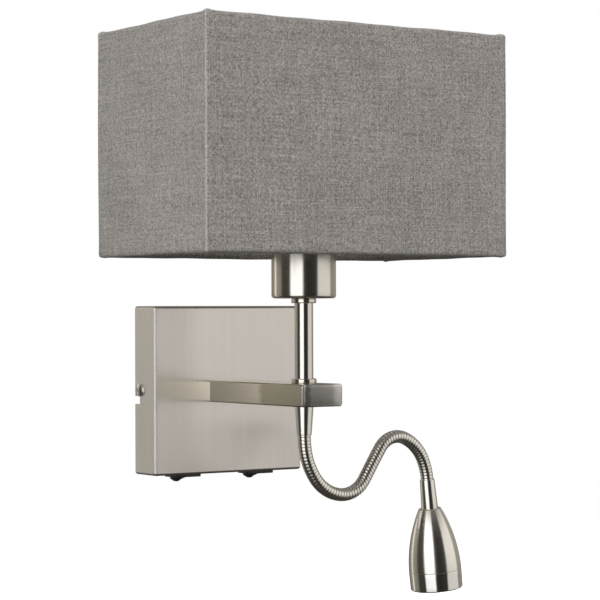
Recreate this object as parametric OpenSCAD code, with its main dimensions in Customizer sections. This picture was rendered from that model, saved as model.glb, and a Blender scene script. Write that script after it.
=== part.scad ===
// Wall lamp with a rectangular fabric shade and a gooseneck reading head.
// Millimetres. Origin: centre of the wall box's back, on the wall.
// +X to the right as seen from the room, +Y into the wall, +Z up.

/* [Wall box] */
// Width of the wall box
box_w = 116.5; // [110:0.5:130]
// Height of the wall box
box_h = 112.7; // [104:0.1:130]
// Depth of the wall box
box_d = 26.2; // [26:0.1:32]
// Sheet thickness of the wall box
box_t = 1.2; // [1:0.1:1.5]
// Distance between the two wall screws
wall_screw_pitch = 60; // [50:1:70]

/* [Arm] */
// Width of the arm tube
arm_w = 30.7; // [28:0.1:36]
// Height of the arm tube
arm_h = 14.4; // [14:0.1:18]
// Reach of the arm's front face from the wall
arm_reach = 138.6; // [132:0.1:160]
// Height of the arm's middle above the box's middle
arm_z = -1; // [-2.5:0.5:4]

/* [Stem] */
// Distance of the stem's middle from the wall
stem_reach = 117; // [110:1:118]
// Diameter of the stem tube
stem_dia = 12; // [11.5:0.1:14]
// Visible length of the stem tube
stem_length = 48.3; // [40:0.1:80]
// Diameter of the two stem collars
collar_dia = 16.1; // [15:0.1:18]
// Diameter of the lampholder cup
cup_dia = 41.5; // [41.5:0.1:44]

/* [Shade] */
// Width of the shade
shade_w = 227.3; // [200:0.1:260]
// Depth of the shade
shade_d = 133.6; // [120:0.1:180]
// Height of the shade
shade_h = 142.8; // [120:0.1:180]

/* [Reading light] */
// Diameter of the gooseneck
neck_dia = 8.2; // [7.6:0.1:8.2]
// Largest diameter of the reading head
head_dia = 35.2; // [35.2:0.1:38]
// Length of the reading head
head_length = 54; // [54:0.5:60]

/* [Hidden] */
$fn = 72;
eps = 0.01;
through = 200;

// Colours
NICKEL = [0.74, 0.71, 0.67];
ZINC = [0.80, 0.80, 0.78];
BLACK = [0.06, 0.06, 0.06];
BRASS = [0.80, 0.66, 0.36];

// Wall box
box_edge_r = 2;
bracket_w = box_w - 2 * box_t - 0.3;
bracket_h = 64;
bracket_t = 1.5;
lug_depth = 12;
lug_step = 4;
lug_low = -12;
lug_high = 10;
slot_low = -9.2;
slot_high = -3.9;
side_screw_y = -7.1;
side_screw_z = 0.2;
side_screw_r = 1.95;
side_head_r = 4.2;
side_head_h = 2.4;
cable_hole_r = 12;
wall_slot_r = 2.5;
wall_slot_length = 12;
upright_screw_z = 24;
earth_x = -40;
earth_z = 18;

// Terminal block and LED driver, inside the wall box
block_x = 12;
block_z = 9;
block_y = -15.5;
block_d = 14;
block_h = 16;
poles = 3;
pole_w = 10;
wire_entry_r = 2.2;
clamp_r = 2.4;
driver_x = -50;
driver_z = 28;
driver_w = 52;
driver_h = 22;
driver_d = 16;
driver_front = -box_d + box_t;

// Arm
arm_t = 1.5;
arm_edge_r = 1.2;
arm_top = arm_z + arm_h / 2;
arm_bottom = arm_z - arm_h / 2;
arm_tube_front = -(arm_reach - arm_t);
arm_screw_x = 9;
arm_screw_r = 2.5;
arm_block_length = 14;
arm_fit_gap = 0.1;
arm_lead_hole_r = 3.2;
plate_w = 60;
plate_h = 36;
plate_t = 2;
grommet_r = 3.9;
grommet_bore_r = 2.9;
grommet_flange_r = 4.4;
lead_r = 1;
lead_x = 1.3;
lead_z = 1.1;
lead_bend = 2.4;
lead_start = -box_d + 6;

// Stem, from the arm's top upwards
collar_h = 3.1;
stem_low = arm_top + collar_h;
stem_high = stem_low + stem_length;
cup_low = stem_high + collar_h;
cup_high = cup_low + 39.5;
cup_t = 0.8;
rod_r = 5;
rod_bore_r = 3.3;
rod_low = arm_z + 2.2;
rod_high = cup_low + 7.5;
nut_af = 14;
nut_h = 3;

// Lampholder
holder_low = cup_low + cup_t + nut_h + 0.3;
holder_floor = cup_low + 26;
holder_r = 18;
insert_h = 8;
sleeve_high = cup_low + 56.5;
sleeve_r = 19.7;
shell_r = 14;
// The threaded shell starts above the contacts
shell_rise = 6.5;
socket_r = 13.3;
contact_w = 5;
contact_t = 0.5;
shade_ring_r = 27;
shade_ring_bore_r = sleeve_r + 0.1;
ring_h = 4;
fitter_t = 2;
fitter_r = 30;
fitter_bore_r = sleeve_r + 0.5;
fitter_low = cup_high + ring_h;
// The arms start outside the two shade rings
fitter_arm_start = 28.6;

// Shade
shade_low = 87.4;
shade_high = shade_low + shade_h;
shade_edge_r = 3;
fabric_t = 0.8;
liner_t = 0.5;
skin_gap = 0.05;
wire_r = 1.5;
wire_bend_r = 4;
wire_inset = fabric_t + liner_t + 2 * skin_gap + wire_r + 0.1;
wire_w = shade_w - 2 * wire_inset;
wire_d = shade_d - 2 * wire_inset;
wire_rise = 2;

// Switches
switch_x = 29;
switch_y = -13;
bezel_w = 21;
bezel_d = 15;
bezel_t = 2.1;
bezel_low = -box_h / 2 - bezel_t;
window_w = 18.2;
window_d = 11;
pivot_depth = 1.5;
rocker_tilt = 15;
rocker_half = 8;
rocker_d = 10.6;
rocker_foot = 2.4;
rocker_crest = pivot_depth + 1.42;
saddle_r = 38.5;
saddle_rise = 0.58;
pin_r = 0.8;
switch_body_w = 18.8;
switch_body_d = 12.8;
switch_body_h = 17;
tab_t = 0.8;
tab_w = 4.8;
tab_h = 8;

// Gooseneck: [length, turn in degrees] of each link's arc, from the arm to the head.
// It hinges where two arcs meet.
NECK_ARCS = [
    [8, 7], [22, 29], [23, 47.5], [23, 65],
    [23, -2.5], [23, -80.5], [22, -42.5], [13, -17]
];
neck_r = neck_dia / 2;
neck_start = [0, -27];
neck_last = len(NECK_ARCS) - 1;
neck_gap = 1.7;
dome_r = 3.9;
dome_back = 4.2;
ferrule_low = -27;
ferrule_bore_r = neck_r + 0.05;
ferrule_end_r = 4.65;
ferrule_root_r = 6.1;
nipple_low = ferrule_low + 6.5;
nipple_high = arm_z - 2.2;
head_ferrule_length = 19.3;
head_ferrule_depth = 8.2;
head_ferrule_r1 = 4.8;
head_ferrule_r2 = 5.6;

// Reading head, measured down its own axis from its shoulder
head_r = head_dia / 2;
ogive_r = 95;
ogive_base = 43;
head_t = 1.6;
ring_length = 12.6;
body_length = head_length - ring_length;
lip_t = 1.5;
lip_r = 13.4;
lens_t = 2;
lens_r = 14.7;
head_bore_r = 3.05;
head_cavity = 4.5;
sink_low = 32;
sink_h = 10;
sink_bore_r = 2;
board_t = 1.6;
board_r = 10;
board_low = sink_low + board_t;
emitter_t = 0.8;
emitter_r = 3.2;
dome_lens_r = 2.4;
spigot_r = 15.7;
spigot_bore_r = lens_r + 0.1;
spigot_h = 5;

// ---------- Helpers ----------

// A rectangle with true round corners, centred on the origin
module rounded_rect(w, h, r) {
    square([w - 2 * r, h], center = true);
    square([w, h - 2 * r], center = true);
    for (x = [-1, 1], y = [-1, 1])
        translate([x * (w / 2 - r), y * (h / 2 - r)])
            circle(r);
}

module ring(r_out, r_in, h) {
    difference() {
        cylinder(r = r_out, h = h);
        translate([0, 0, -1])
            cylinder(r = r_in, h = h + 2);
    }
}

// A cylinder along Y, from y = 0 towards the room
module y_pin(r, length) {
    rotate([90, 0, 0])
        cylinder(r = r, h = length);
}

module y_hole(r) {
    translate([0, through / 2, 0])
        y_pin(r, through);
}

module at_stem() {
    translate([0, -stem_reach, 0])
        children();
}

// A pan head with a crossed recess, its flat underside at z = 0
module cross_head(r, h) {
    recess_w = 0.9;
    difference() {
        intersection() {
            cylinder(r = r, h = h);
            translate([0, 0, h - 2 * r])
                sphere(r = 2 * r);
        }
        for (a = [0, 90])
            rotate([0, 0, a])
                translate([-r * 0.55, -recess_w / 2, h * 0.45])
                    cube([r * 1.1, recess_w, h]);
    }
}

module hex_nut(r_bore) {
    difference() {
        cylinder(r = nut_af / 2 / cos(30), h = nut_h, $fn = 6);
        translate([0, 0, -1])
            cylinder(r = r_bore, h = nut_h + 2);
    }
}

// ---------- Gooseneck path ----------

function arc_radius(i) = NECK_ARCS[i][0] / abs(NECK_ARCS[i][1]) * 180 / PI;
function arc_side(i) = sign(NECK_ARCS[i][1]);
// Headings are in degrees from straight down, turning towards +X
function arc_heading(i) = i == 0 ? 0 : arc_heading(i - 1) + NECK_ARCS[i - 1][1];
function heading_at(i, s) = arc_heading(i) + NECK_ARCS[i][1] * s / NECK_ARCS[i][0];
function normal(heading) = [cos(heading), sin(heading)];
function arc_centre(i) = arc_start(i) + arc_side(i) * arc_radius(i) * normal(arc_heading(i));
function arc_point(i, s) = arc_centre(i) - arc_side(i) * arc_radius(i) * normal(heading_at(i, s));
function arc_start(i) = i == 0 ? neck_start : arc_point(i - 1, NECK_ARCS[i - 1][0]);

// The stretch of arc i between distances a and b along it
module neck_stretch(i, a, b) {
    centre = arc_centre(i);
    first = arc_side(i) > 0 ? heading_at(i, a) + 180 : heading_at(i, b);
    translate([centre[0], -stem_reach, centre[1]])
        rotate([90, 0, 0])
            rotate([0, 0, first])
                rotate_extrude(angle = abs(heading_at(i, b) - heading_at(i, a)), $fn = 144)
                    translate([arc_radius(i), 0])
                        circle(neck_r, $fn = 48);
}

module neck_dome(i, s) {
    p = arc_point(i, s);
    translate([p[0], -stem_reach, p[1]])
        sphere(r = dome_r);
}

// One rigid link of the neck, with a dome at each end
module neck_link(i) {
    length = NECK_ARCS[i][0];
    color(NICKEL) {
        neck_stretch(i, neck_gap, length - neck_gap);
        neck_dome(i, dome_back);
        neck_dome(i, length - dome_back);
    }
}

// Places children at the neck's end with -Z down the head's axis
module at_neck_end(along = 0) {
    p = arc_point(neck_last, NECK_ARCS[neck_last][0]);
    translate([p[0], -stem_reach, p[1]])
        rotate([0, -arc_heading(neck_last + 1), 0])
            translate([0, 0, -along])
                children();
}

module at_head() {
    at_neck_end(head_ferrule_length)
        children();
}

// ---------- Wall box ----------

module wall_bracket() {
    color(ZINC)
        difference() {
            union() {
                translate([-bracket_w / 2, -bracket_t, -bracket_h / 2])
                    cube([bracket_w, bracket_t, bracket_h]);
                for (s = [-1, 1]) {
                    edge = s > 0 ? bracket_w / 2 - bracket_t : -bracket_w / 2;
                    translate([edge, -lug_depth, lug_low])
                        cube([bracket_t, lug_depth - lug_step, lug_high - lug_low]);
                    translate([edge, -lug_depth, slot_high + 1])
                        cube([bracket_t, lug_depth, lug_high - slot_high - 1]);
                }
            }
            // The plate is cut back behind the two side slots
            for (s = [-1, 1])
                translate([s * bracket_w / 2 - 4, -lug_step, lug_low - 2])
                    cube([8, lug_step + 1, slot_high + 1 - lug_low + 2]);
            y_hole(cable_hole_r);
            for (s = [-1, 1]) {
                translate([s * wall_screw_pitch / 2, 1, 0])
                    rotate([90, 0, 0])
                        linear_extrude(bracket_t + 2)
                            rounded_rect(wall_slot_length, 2 * wall_slot_r, wall_slot_r - eps);
                translate([0, 0, s * upright_screw_z])
                    y_hole(wall_slot_r);
                translate([s * bracket_w / 2 - s * 5, side_screw_y, side_screw_z])
                    rotate([0, s * 90, 0])
                        cylinder(r = side_screw_r + 0.05, h = 10);
            }
            translate([earth_x, 0, earth_z])
                y_hole(2);
        }
}

module earth_screw() {
    color(BRASS)
        translate([earth_x, -bracket_t, earth_z])
            rotate([90, 0, 0]) {
                cross_head(3.8, 2.4);
                translate([0, 0, -bracket_t])
                    cylinder(r = 1.95, h = bracket_t + eps);
            }
}

module terminal_block() {
    color([0.93, 0.92, 0.88])
        translate([block_x, block_y, block_z])
            difference() {
                cube([poles * pole_w, block_d, block_h]);
                for (i = [0 : poles - 1])
                    translate([(i + 0.5) * pole_w, 0, 0]) {
                        // A wire entry from below and above, and two clamping screw wells
                        translate([0, block_d / 2, -1])
                            cylinder(r = wire_entry_r, h = block_h + 2);
                        for (z = [0.22, 0.78])
                            translate([0, 4.5, z * block_h])
                                y_pin(clamp_r, 6);
                    }
            }
}

module led_driver() {
    color([0.92, 0.92, 0.90])
        difference() {
            translate([driver_x + driver_w / 2, driver_front + driver_d, driver_z + driver_h / 2])
                rotate([90, 0, 0])
                    linear_extrude(driver_d)
                        rounded_rect(driver_w, driver_h, 2);
            // Lead entries at both ends
            for (x = [driver_x - 1, driver_x + driver_w - 1])
                translate([x, driver_front + driver_d / 2, driver_z + driver_h / 2])
                    rotate([0, 90, 0])
                        cylinder(r = 2, h = 2);
        }
}

module box_outline() {
    intersection() {
        // Seen from the front
        rotate([90, 0, 0])
            linear_extrude(box_d)
                rounded_rect(box_w, box_h, box_edge_r);
        // Seen from above
        translate([0, 0, -box_h])
            linear_extrude(2 * box_h)
                rounded_rect(box_w, 2 * box_d, box_edge_r);
        // Seen from the side
        translate([-box_w, 0, 0])
            rotate([90, 0, 90])
                linear_extrude(2 * box_w)
                    rounded_rect(2 * box_d, box_h, box_edge_r);
    }
}

module wall_box() {
    color(NICKEL)
        difference() {
            box_outline();
            translate([-box_w / 2 + box_t, -box_d + box_t, -box_h / 2 + box_t])
                cube([box_w - 2 * box_t, box_d, box_h - 2 * box_t]);
            // Side slots and the screw holes above them
            for (s = [-1, 1]) {
                translate([s * box_w / 2 - 3, -lug_depth, slot_low])
                    cube([6, lug_depth + 1, slot_high - slot_low]);
                translate([s * box_w / 2 - s * 3, side_screw_y, side_screw_z])
                    rotate([0, s * 90, 0])
                        cylinder(r = 2.2, h = 6);
            }
            // Arm screws and leads
            for (s = [-1, 1])
                translate([s * arm_screw_x, -box_d / 2, arm_z])
                    y_pin(arm_screw_r + 0.2, box_d);
            translate([0, -box_d / 2, arm_z])
                y_pin(grommet_r + 0.05, box_d);
            // Switch cut-outs
            for (s = [-1, 1])
                translate([s * switch_x, switch_y, -box_h / 2])
                    cube([19, 13, 6], center = true);
        }
}

module box_screws() {
    color(ZINC)
        for (s = [-1, 1])
            translate([s * box_w / 2, side_screw_y, side_screw_z])
                rotate([0, s * 90, 0]) {
                    rotate([0, 0, 28])
                        cross_head(side_head_r, side_head_h);
                    translate([0, 0, -7])
                        cylinder(r = side_screw_r, h = 7 + eps);
                }
}

module backing_plate() {
    color(ZINC)
        difference() {
            translate([-plate_w / 2, -box_d + box_t, arm_z - plate_h / 2])
                cube([plate_w, plate_t, plate_h]);
            for (s = [-1, 1])
                translate([s * arm_screw_x, 0, arm_z])
                    y_hole(arm_screw_r + 0.2);
            translate([0, 0, arm_z])
                y_hole(grommet_r + 0.05);
        }
}

module arm_screws() {
    color(ZINC)
        for (s = [-1, 1])
            translate([s * arm_screw_x, -box_d + box_t + plate_t, arm_z])
                rotate([-90, 0, 0]) {
                    cross_head(4.4, 3);
                    translate([0, 0, -14])
                        cylinder(r = arm_screw_r, h = 14 + eps);
                }
}

module cable_grommet() {
    color([0.15, 0.15, 0.15])
        translate([0, -box_d, arm_z])
            rotate([-90, 0, 0]) {
                ring(grommet_r, grommet_bore_r, box_t + plate_t + 1);
                translate([0, 0, box_t + plate_t])
                    ring(grommet_flange_r, grommet_bore_r, 1.2);
            }
}

// ---------- Arm ----------

module arm_root_block() {
    inside_w = arm_w - 2 * (arm_t + arm_fit_gap);
    inside_h = arm_h - 2 * (arm_t + arm_fit_gap);
    color(ZINC)
        difference() {
            translate([-inside_w / 2, -box_d - arm_block_length, arm_z - inside_h / 2])
                cube([inside_w, arm_block_length, inside_h]);
            for (s = [-1, 1])
                translate([s * arm_screw_x, 0, arm_z])
                    y_hole(arm_screw_r + 0.05);
            translate([0, 0, arm_z])
                y_hole(arm_lead_hole_r);
        }
}

module arm_tube() {
    length = -arm_tube_front - box_d;
    color(NICKEL)
        difference() {
            translate([0, -box_d, arm_z])
                rotate([90, 0, 0])
                    linear_extrude(length)
                        difference() {
                            rounded_rect(arm_w, arm_h, arm_edge_r);
                            square([arm_w - 2 * arm_t, arm_h - 2 * arm_t], center = true);
                        }
            at_stem() {
                translate([0, 0, arm_z])
                    cylinder(r = rod_r + 0.1, h = arm_h);
                translate([0, 0, arm_z - arm_h])
                    cylinder(r = ferrule_bore_r + 0.05, h = arm_h);
            }
        }
}

module arm_end_cap() {
    plug = 5;
    color(NICKEL) {
        translate([0, arm_tube_front, arm_z])
            rotate([90, 0, 0])
                linear_extrude(arm_t)
                    rounded_rect(arm_w, arm_h, arm_edge_r);
        translate([0, arm_tube_front + plug, arm_z])
            rotate([90, 0, 0])
                linear_extrude(plug + eps)
                    square([
                        arm_w - 2 * (arm_t + arm_fit_gap),
                        arm_h - 2 * (arm_t + arm_fit_gap)
                    ], center = true);
    }
}

// ---------- Stem ----------

module stem_rod() {
    color(ZINC)
        at_stem()
            translate([0, 0, rod_low])
                ring(rod_r, rod_bore_r, rod_high - rod_low);
}

module stem_nuts() {
    color(ZINC)
        at_stem() {
            translate([0, 0, arm_top - arm_t - nut_h])
                hex_nut(rod_r + 0.05);
            translate([0, 0, cup_low + cup_t])
                hex_nut(rod_r + 0.05);
        }
}

module collar() {
    chamfer = 0.4;
    r = collar_dia / 2;
    rotate_extrude()
        polygon([
            [rod_r + 0.1, 0], [r - chamfer, 0], [r, chamfer],
            [r, collar_h - chamfer], [r - chamfer, collar_h], [rod_r + 0.1, collar_h]
        ]);
}

module lower_collar() {
    color(NICKEL)
        at_stem()
            translate([0, 0, arm_top])
                collar();
}

module stem_tube() {
    color(NICKEL)
        at_stem()
            translate([0, 0, stem_low])
                ring(stem_dia / 2, rod_r + 0.1, stem_length);
}

module upper_collar() {
    color(NICKEL)
        at_stem()
            translate([0, 0, stem_high])
                collar();
}

module cup_profile(r, edge) {
    height = cup_high - cup_low;
    translate([0, edge])
        square([r, height - edge]);
    square([r - edge, height]);
    translate([r - edge, edge])
        circle(edge);
}

module lampholder_cup() {
    edge = 1.8;
    color(NICKEL)
        at_stem()
            translate([0, 0, cup_low])
                difference() {
                    rotate_extrude()
                        cup_profile(cup_dia / 2, edge);
                    translate([0, 0, cup_t])
                        rotate_extrude()
                            cup_profile(cup_dia / 2 - cup_t, edge - cup_t);
                    translate([0, 0, -1])
                        cylinder(r = rod_r + 0.1, h = 4);
                    // The inner profile stops below the rim, so the rim is opened here
                    translate([0, 0, cup_high - cup_low - 2])
                        cylinder(r = cup_dia / 2 - cup_t, h = 4);
                }
}

// ---------- Lampholder ----------

module lampholder_base() {
    insert_low = holder_floor - insert_h;
    color([0.93, 0.92, 0.89])
        at_stem()
            translate([0, 0, holder_low])
                difference() {
                    cylinder(r = holder_r, h = insert_low - holder_low);
                    translate([0, 0, 6])
                        cylinder(r = holder_r - 2.5, h = insert_low - holder_low);
                    translate([0, 0, -1])
                        cylinder(r = rod_r + 0.05, h = 10);
                }
}

module lampholder_insert() {
    color([0.95, 0.95, 0.93])
        at_stem()
            translate([0, 0, holder_floor - insert_h])
                difference() {
                    cylinder(r = holder_r, h = insert_h);
                    for (s = [-1, 1])
                        translate([s * holder_r / 2, 0, -1])
                            cylinder(r = 1.6, h = insert_h + 2);
                }
}

module lampholder_shell() {
    color(ZINC)
        at_stem()
            translate([0, 0, holder_floor + shell_rise])
                ring(shell_r, socket_r, sleeve_high - holder_floor - shell_rise - 2);
}

module lampholder_contacts() {
    side = shell_r - 3.4;
    color(BRASS)
        at_stem()
            translate([-contact_w / 2, 0, holder_floor]) {
                // Centre tongue, sprung up from the floor
                translate([0, -8, 0])
                    cube([contact_w, contact_w, contact_t]);
                translate([0, -3.4, 0.4])
                    rotate([22, 0, 0])
                        cube([contact_w, 9, contact_t]);
                // Side tongue
                translate([contact_w / 2 + side, -contact_w / 2, 0])
                    cube([2, contact_w, contact_t]);
                translate([contact_w / 2 + side + 1.5, -contact_w / 2, 0])
                    cube([contact_t, contact_w, 6]);
            }
}

module lampholder_sleeve() {
    height = sleeve_high - holder_floor;
    color([0.93, 0.92, 0.89])
        at_stem()
            translate([0, 0, holder_floor])
                difference() {
                    cylinder(r = sleeve_r, h = height);
                    translate([0, 0, -1])
                        cylinder(r = shell_r + 0.05, h = height - 1);
                    translate([0, 0, 1])
                        cylinder(r = socket_r + 0.4, h = height);
                }
}

module shade_rings() {
    color([0.93, 0.92, 0.89])
        at_stem()
            for (z = [cup_high, fitter_low + fitter_t])
                translate([0, 0, z])
                    ring(shade_ring_r, shade_ring_bore_r, ring_h);
}

// ---------- Shade ----------

module wire_rectangle() {
    for (s = [-1, 1]) {
        translate([-wire_w / 2 + wire_bend_r, s * wire_d / 2, 0])
            rotate([0, 90, 0])
                cylinder(r = wire_r, h = wire_w - 2 * wire_bend_r);
        translate([s * wire_w / 2, wire_d / 2 - wire_bend_r, 0])
            y_pin(wire_r, wire_d - 2 * wire_bend_r);
    }
    for (corner = [0 : 3]) {
        x = (corner == 0 || corner == 3) ? 1 : -1;
        y = corner < 2 ? 1 : -1;
        translate([x * (wire_w / 2 - wire_bend_r), y * (wire_d / 2 - wire_bend_r), 0])
            rotate([0, 0, corner * 90])
                rotate_extrude(angle = 90)
                    translate([wire_bend_r, 0])
                        circle(wire_r, $fn = 32);
    }
}

// A wire of the given radius that climbs inwards from the frame to the fitter
module fitter_arm(reach, rise) {
    run = reach - fitter_arm_start;
    translate([fitter_arm_start, 0, rise])
        rotate([0, 90 + atan(rise / run), 0])
            cylinder(r = wire_r, h = sqrt(run * run + rise * rise));
}

module shade_lower_frame() {
    rise = fitter_low + fitter_t / 2 - shade_low - wire_rise;
    color(ZINC)
        at_stem() {
            translate([0, 0, shade_low + wire_rise]) {
                wire_rectangle();
                for (s = [0, 180])
                    rotate([0, 0, s]) {
                        fitter_arm(wire_w / 2, rise);
                        rotate([0, 0, 90])
                            fitter_arm(wire_d / 2, rise);
                    }
            }
            translate([0, 0, fitter_low])
                ring(fitter_r, fitter_bore_r, fitter_t);
        }
}

module shade_upper_frame() {
    color(ZINC)
        at_stem()
            translate([0, 0, shade_high - wire_rise])
                wire_rectangle();
}

// A rectangular tube of the given wall, inset from the shade's outside
module shade_skin(inset, wall) {
    at_stem()
        translate([0, 0, shade_low])
            linear_extrude(shade_h)
                difference() {
                    rounded_rect(shade_w - 2 * inset, shade_d - 2 * inset, shade_edge_r - inset);
                    rounded_rect(shade_w - 2 * (inset + wall), shade_d - 2 * (inset + wall),
                        shade_edge_r - inset - wall);
                }
}

module shade_liner() {
    color([0.95, 0.94, 0.91])
        shade_skin(fabric_t + skin_gap, liner_t);
}

module shade_fabric() {
    color([0.54, 0.52, 0.50])
        shade_skin(0, fabric_t);
}

// ---------- Leads ----------

// A pair of leads along the arm, turning up (1) or down (-1) on the stem's axis
module lead_pair(level, way, length) {
    for (s = [-1, 1])
        translate([s * lead_x, 0, arm_z + level]) {
            translate([0, lead_start, 0])
                y_pin(lead_r, stem_reach + lead_start - lead_bend);
            // Local X and Y of the elbow are the lamp's Y and Z
            translate([0, -stem_reach + lead_bend, way * lead_bend])
                rotate([90, 0, 90])
                    rotate([0, 0, way > 0 ? 180 : 90])
                        rotate_extrude(angle = 90)
                            translate([lead_bend, 0])
                                circle(lead_r, $fn = 32);
            translate([0, -stem_reach, way > 0 ? lead_bend : -lead_bend - length])
                cylinder(r = lead_r, h = length);
        }
}

module lamp_leads() {
    color([0.35, 0.22, 0.14])
        lead_pair(lead_z, 1, 66);
}

module led_leads() {
    color([0.70, 0.10, 0.08])
        lead_pair(-lead_z, -1, 15);
}

// ---------- Switches ----------

module switch_housing() {
    color(BLACK)
        translate([0, switch_y, 0])
            difference() {
                union() {
                    translate([0, 0, bezel_low])
                        linear_extrude(bezel_t)
                            rounded_rect(bezel_w, bezel_d, 2);
                    translate([-switch_body_w / 2, -switch_body_d / 2, -box_h / 2 - eps])
                        cube([switch_body_w, switch_body_d, switch_body_h]);
                }
                translate([-window_w / 2, -window_d / 2, bezel_low - 1])
                    cube([window_w, window_d, 11]);
                translate([0, 6.2, bezel_low + pivot_depth])
                    y_pin(pin_r + 0.05, 12.4);
            }
}

module switch_housing_left() {
    translate([-switch_x, 0, 0])
        switch_housing();
}

module switch_housing_right() {
    translate([switch_x, 0, 0])
        switch_housing();
}

module switch_terminals() {
    color(BRASS)
        for (s = [-1, 1], side_x = [-5, 5])
            translate([
                s * switch_x + side_x - tab_t / 2,
                switch_y - tab_w / 2,
                -box_h / 2 + switch_body_h - eps
            ])
                cube([tab_t, tab_w, tab_h]);
}

// The rocker about its pivot, level, with its outer face down
module rocker_shape() {
    foot_half = rocker_half - 1.6;
    rotate([90, 0, 0])
        translate([0, 0, -rocker_d / 2])
            linear_extrude(rocker_d)
                difference() {
                    polygon([
                        [-rocker_half, -rocker_crest], [rocker_half, -rocker_crest],
                        [rocker_half + 0.2, 0], [foot_half, rocker_foot],
                        [-foot_half, rocker_foot], [-rocker_half - 0.2, 0]
                    ]);
                    translate([0, -(pivot_depth + saddle_rise + saddle_r)])
                        circle(saddle_r, $fn = 180);
                }
    translate([0, rocker_d / 2 + pin_r, 0])
        y_pin(pin_r, rocker_d + 2 * pin_r);
}

module rocker() {
    color(BLACK)
        translate([0, switch_y, bezel_low + pivot_depth])
            rotate([0, -rocker_tilt, 0])
                rocker_shape();
}

module rocker_left() {
    translate([-switch_x, 0, 0])
        rocker();
}

module rocker_right() {
    translate([switch_x, 0, 0])
        rocker();
}

// ---------- Gooseneck ----------

module neck_nut() {
    color(ZINC)
        at_stem()
            translate([0, 0, arm_bottom + arm_t])
                hex_nut(ferrule_bore_r);
}

module neck_nipple() {
    color(ZINC)
        at_stem()
            translate([0, 0, nipple_low])
                ring(neck_r, 2.8, nipple_high - nipple_low);
}

module neck_ferrule() {
    color(NICKEL)
        at_stem()
            rotate_extrude()
                polygon([
                    [ferrule_bore_r, ferrule_low], [ferrule_end_r, ferrule_low],
                    [ferrule_end_r + 0.1, ferrule_low + 0.3],
                    [ferrule_root_r, arm_bottom], [ferrule_bore_r, arm_bottom]
                ]);
}

module neck_root() {
    length = NECK_ARCS[0][0];
    color(NICKEL) {
        neck_stretch(0, 0, length - neck_gap);
        neck_dome(0, length - dome_back);
        at_stem()
            translate([0, 0, ferrule_low])
                cylinder(r = neck_r, h = 6);
    }
}

module neck_link_1() {
    neck_link(1);
}

module neck_link_2() {
    neck_link(2);
}

module neck_link_3() {
    neck_link(3);
}

module neck_link_4() {
    neck_link(4);
}

module neck_link_5() {
    neck_link(5);
}

module neck_link_6() {
    neck_link(6);
}

module neck_tip() {
    color(NICKEL) {
        neck_stretch(neck_last, neck_gap, NECK_ARCS[neck_last][0]);
        neck_dome(neck_last, dome_back);
        at_neck_end(8)
            cylinder(r = neck_r - 0.1, h = 9);
    }
}

// ---------- Reading head ----------

module head_ferrule() {
    length = head_ferrule_length;
    color(NICKEL)
        at_neck_end()
            rotate_extrude()
                polygon([
                    [ferrule_bore_r, 0], [head_ferrule_r1, 0], [head_ferrule_r1 + 0.1, -0.3],
                    [head_ferrule_r2, -length], [head_bore_r, -length],
                    [head_bore_r, -head_ferrule_depth], [ferrule_bore_r, -head_ferrule_depth]
                ]);
}

module head_nipple() {
    color(ZINC)
        at_head()
            translate([0, 0, -6])
                ring(3, 1.8, 14);
}

// The space inside the ogive of the given offset, between two depths below the shoulder
module ogive(offset_in, top, bottom) {
    rotate_extrude($fn = 96)
        intersection() {
            translate([head_r - ogive_r, -ogive_base])
                circle(ogive_r - offset_in, $fn = 720);
            translate([0, -bottom])
                square([head_r, bottom - top]);
        }
}

module head_body() {
    color(NICKEL)
        at_head()
            difference() {
                ogive(0, 0, body_length);
                ogive(head_t, head_cavity, body_length + 1);
                translate([0, 0, -head_cavity - 0.5])
                    cylinder(r = head_bore_r, h = head_cavity + 1.5);
            }
}

module heat_sink() {
    color([0.82, 0.83, 0.84])
        at_head()
            translate([0, 0, -sink_low])
                difference() {
                    cylinder(r1 = 14.2, r2 = 12.2, h = sink_h);
                    translate([0, 0, -1])
                        cylinder(r = sink_bore_r, h = sink_h + 2);
                }
}

module led_board() {
    color([0.92, 0.93, 0.92])
        at_head()
            translate([0, 0, -board_low])
                cylinder(r = board_r, h = board_t);
}

module led_emitter() {
    color([0.97, 0.88, 0.45])
        at_head()
            translate([0, 0, -board_low - emitter_t]) {
                cylinder(r = emitter_r, h = emitter_t);
                intersection() {
                    sphere(r = dome_lens_r);
                    translate([0, 0, -dome_lens_r])
                        cylinder(r = dome_lens_r + 1, h = dome_lens_r + emitter_t / 2);
                }
            }
}

module reflector() {
    throat = board_low + 0.1;
    mouth = head_length - lip_t - lens_t - 0.2;
    color([0.90, 0.90, 0.90])
        at_head()
            rotate_extrude()
                polygon([
                    [3.6, -throat], [4.4, -throat], [13.7, -mouth + 0.7],
                    [13.7, -mouth], [12.9, -mouth]
                ]);
}

module head_lens() {
    color([0.90, 0.93, 0.95])
        at_head()
            translate([0, 0, -head_length + lip_t])
                cylinder(r = lens_r, h = lens_t);
}

module head_ring() {
    color([0.85, 0.84, 0.81])
        at_head()
            rotate_extrude()
                polygon([
                    [lip_r, -head_length], [head_r - 0.7, -head_length],
                    [head_r - 0.2, -head_length + 0.5], [head_r, -body_length],
                    [spigot_r, -body_length], [spigot_r, -body_length + spigot_h],
                    [spigot_bore_r, -body_length + spigot_h],
                    [spigot_bore_r, -head_length + lip_t], [lip_r, -head_length + lip_t]
                ]);
}

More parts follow.
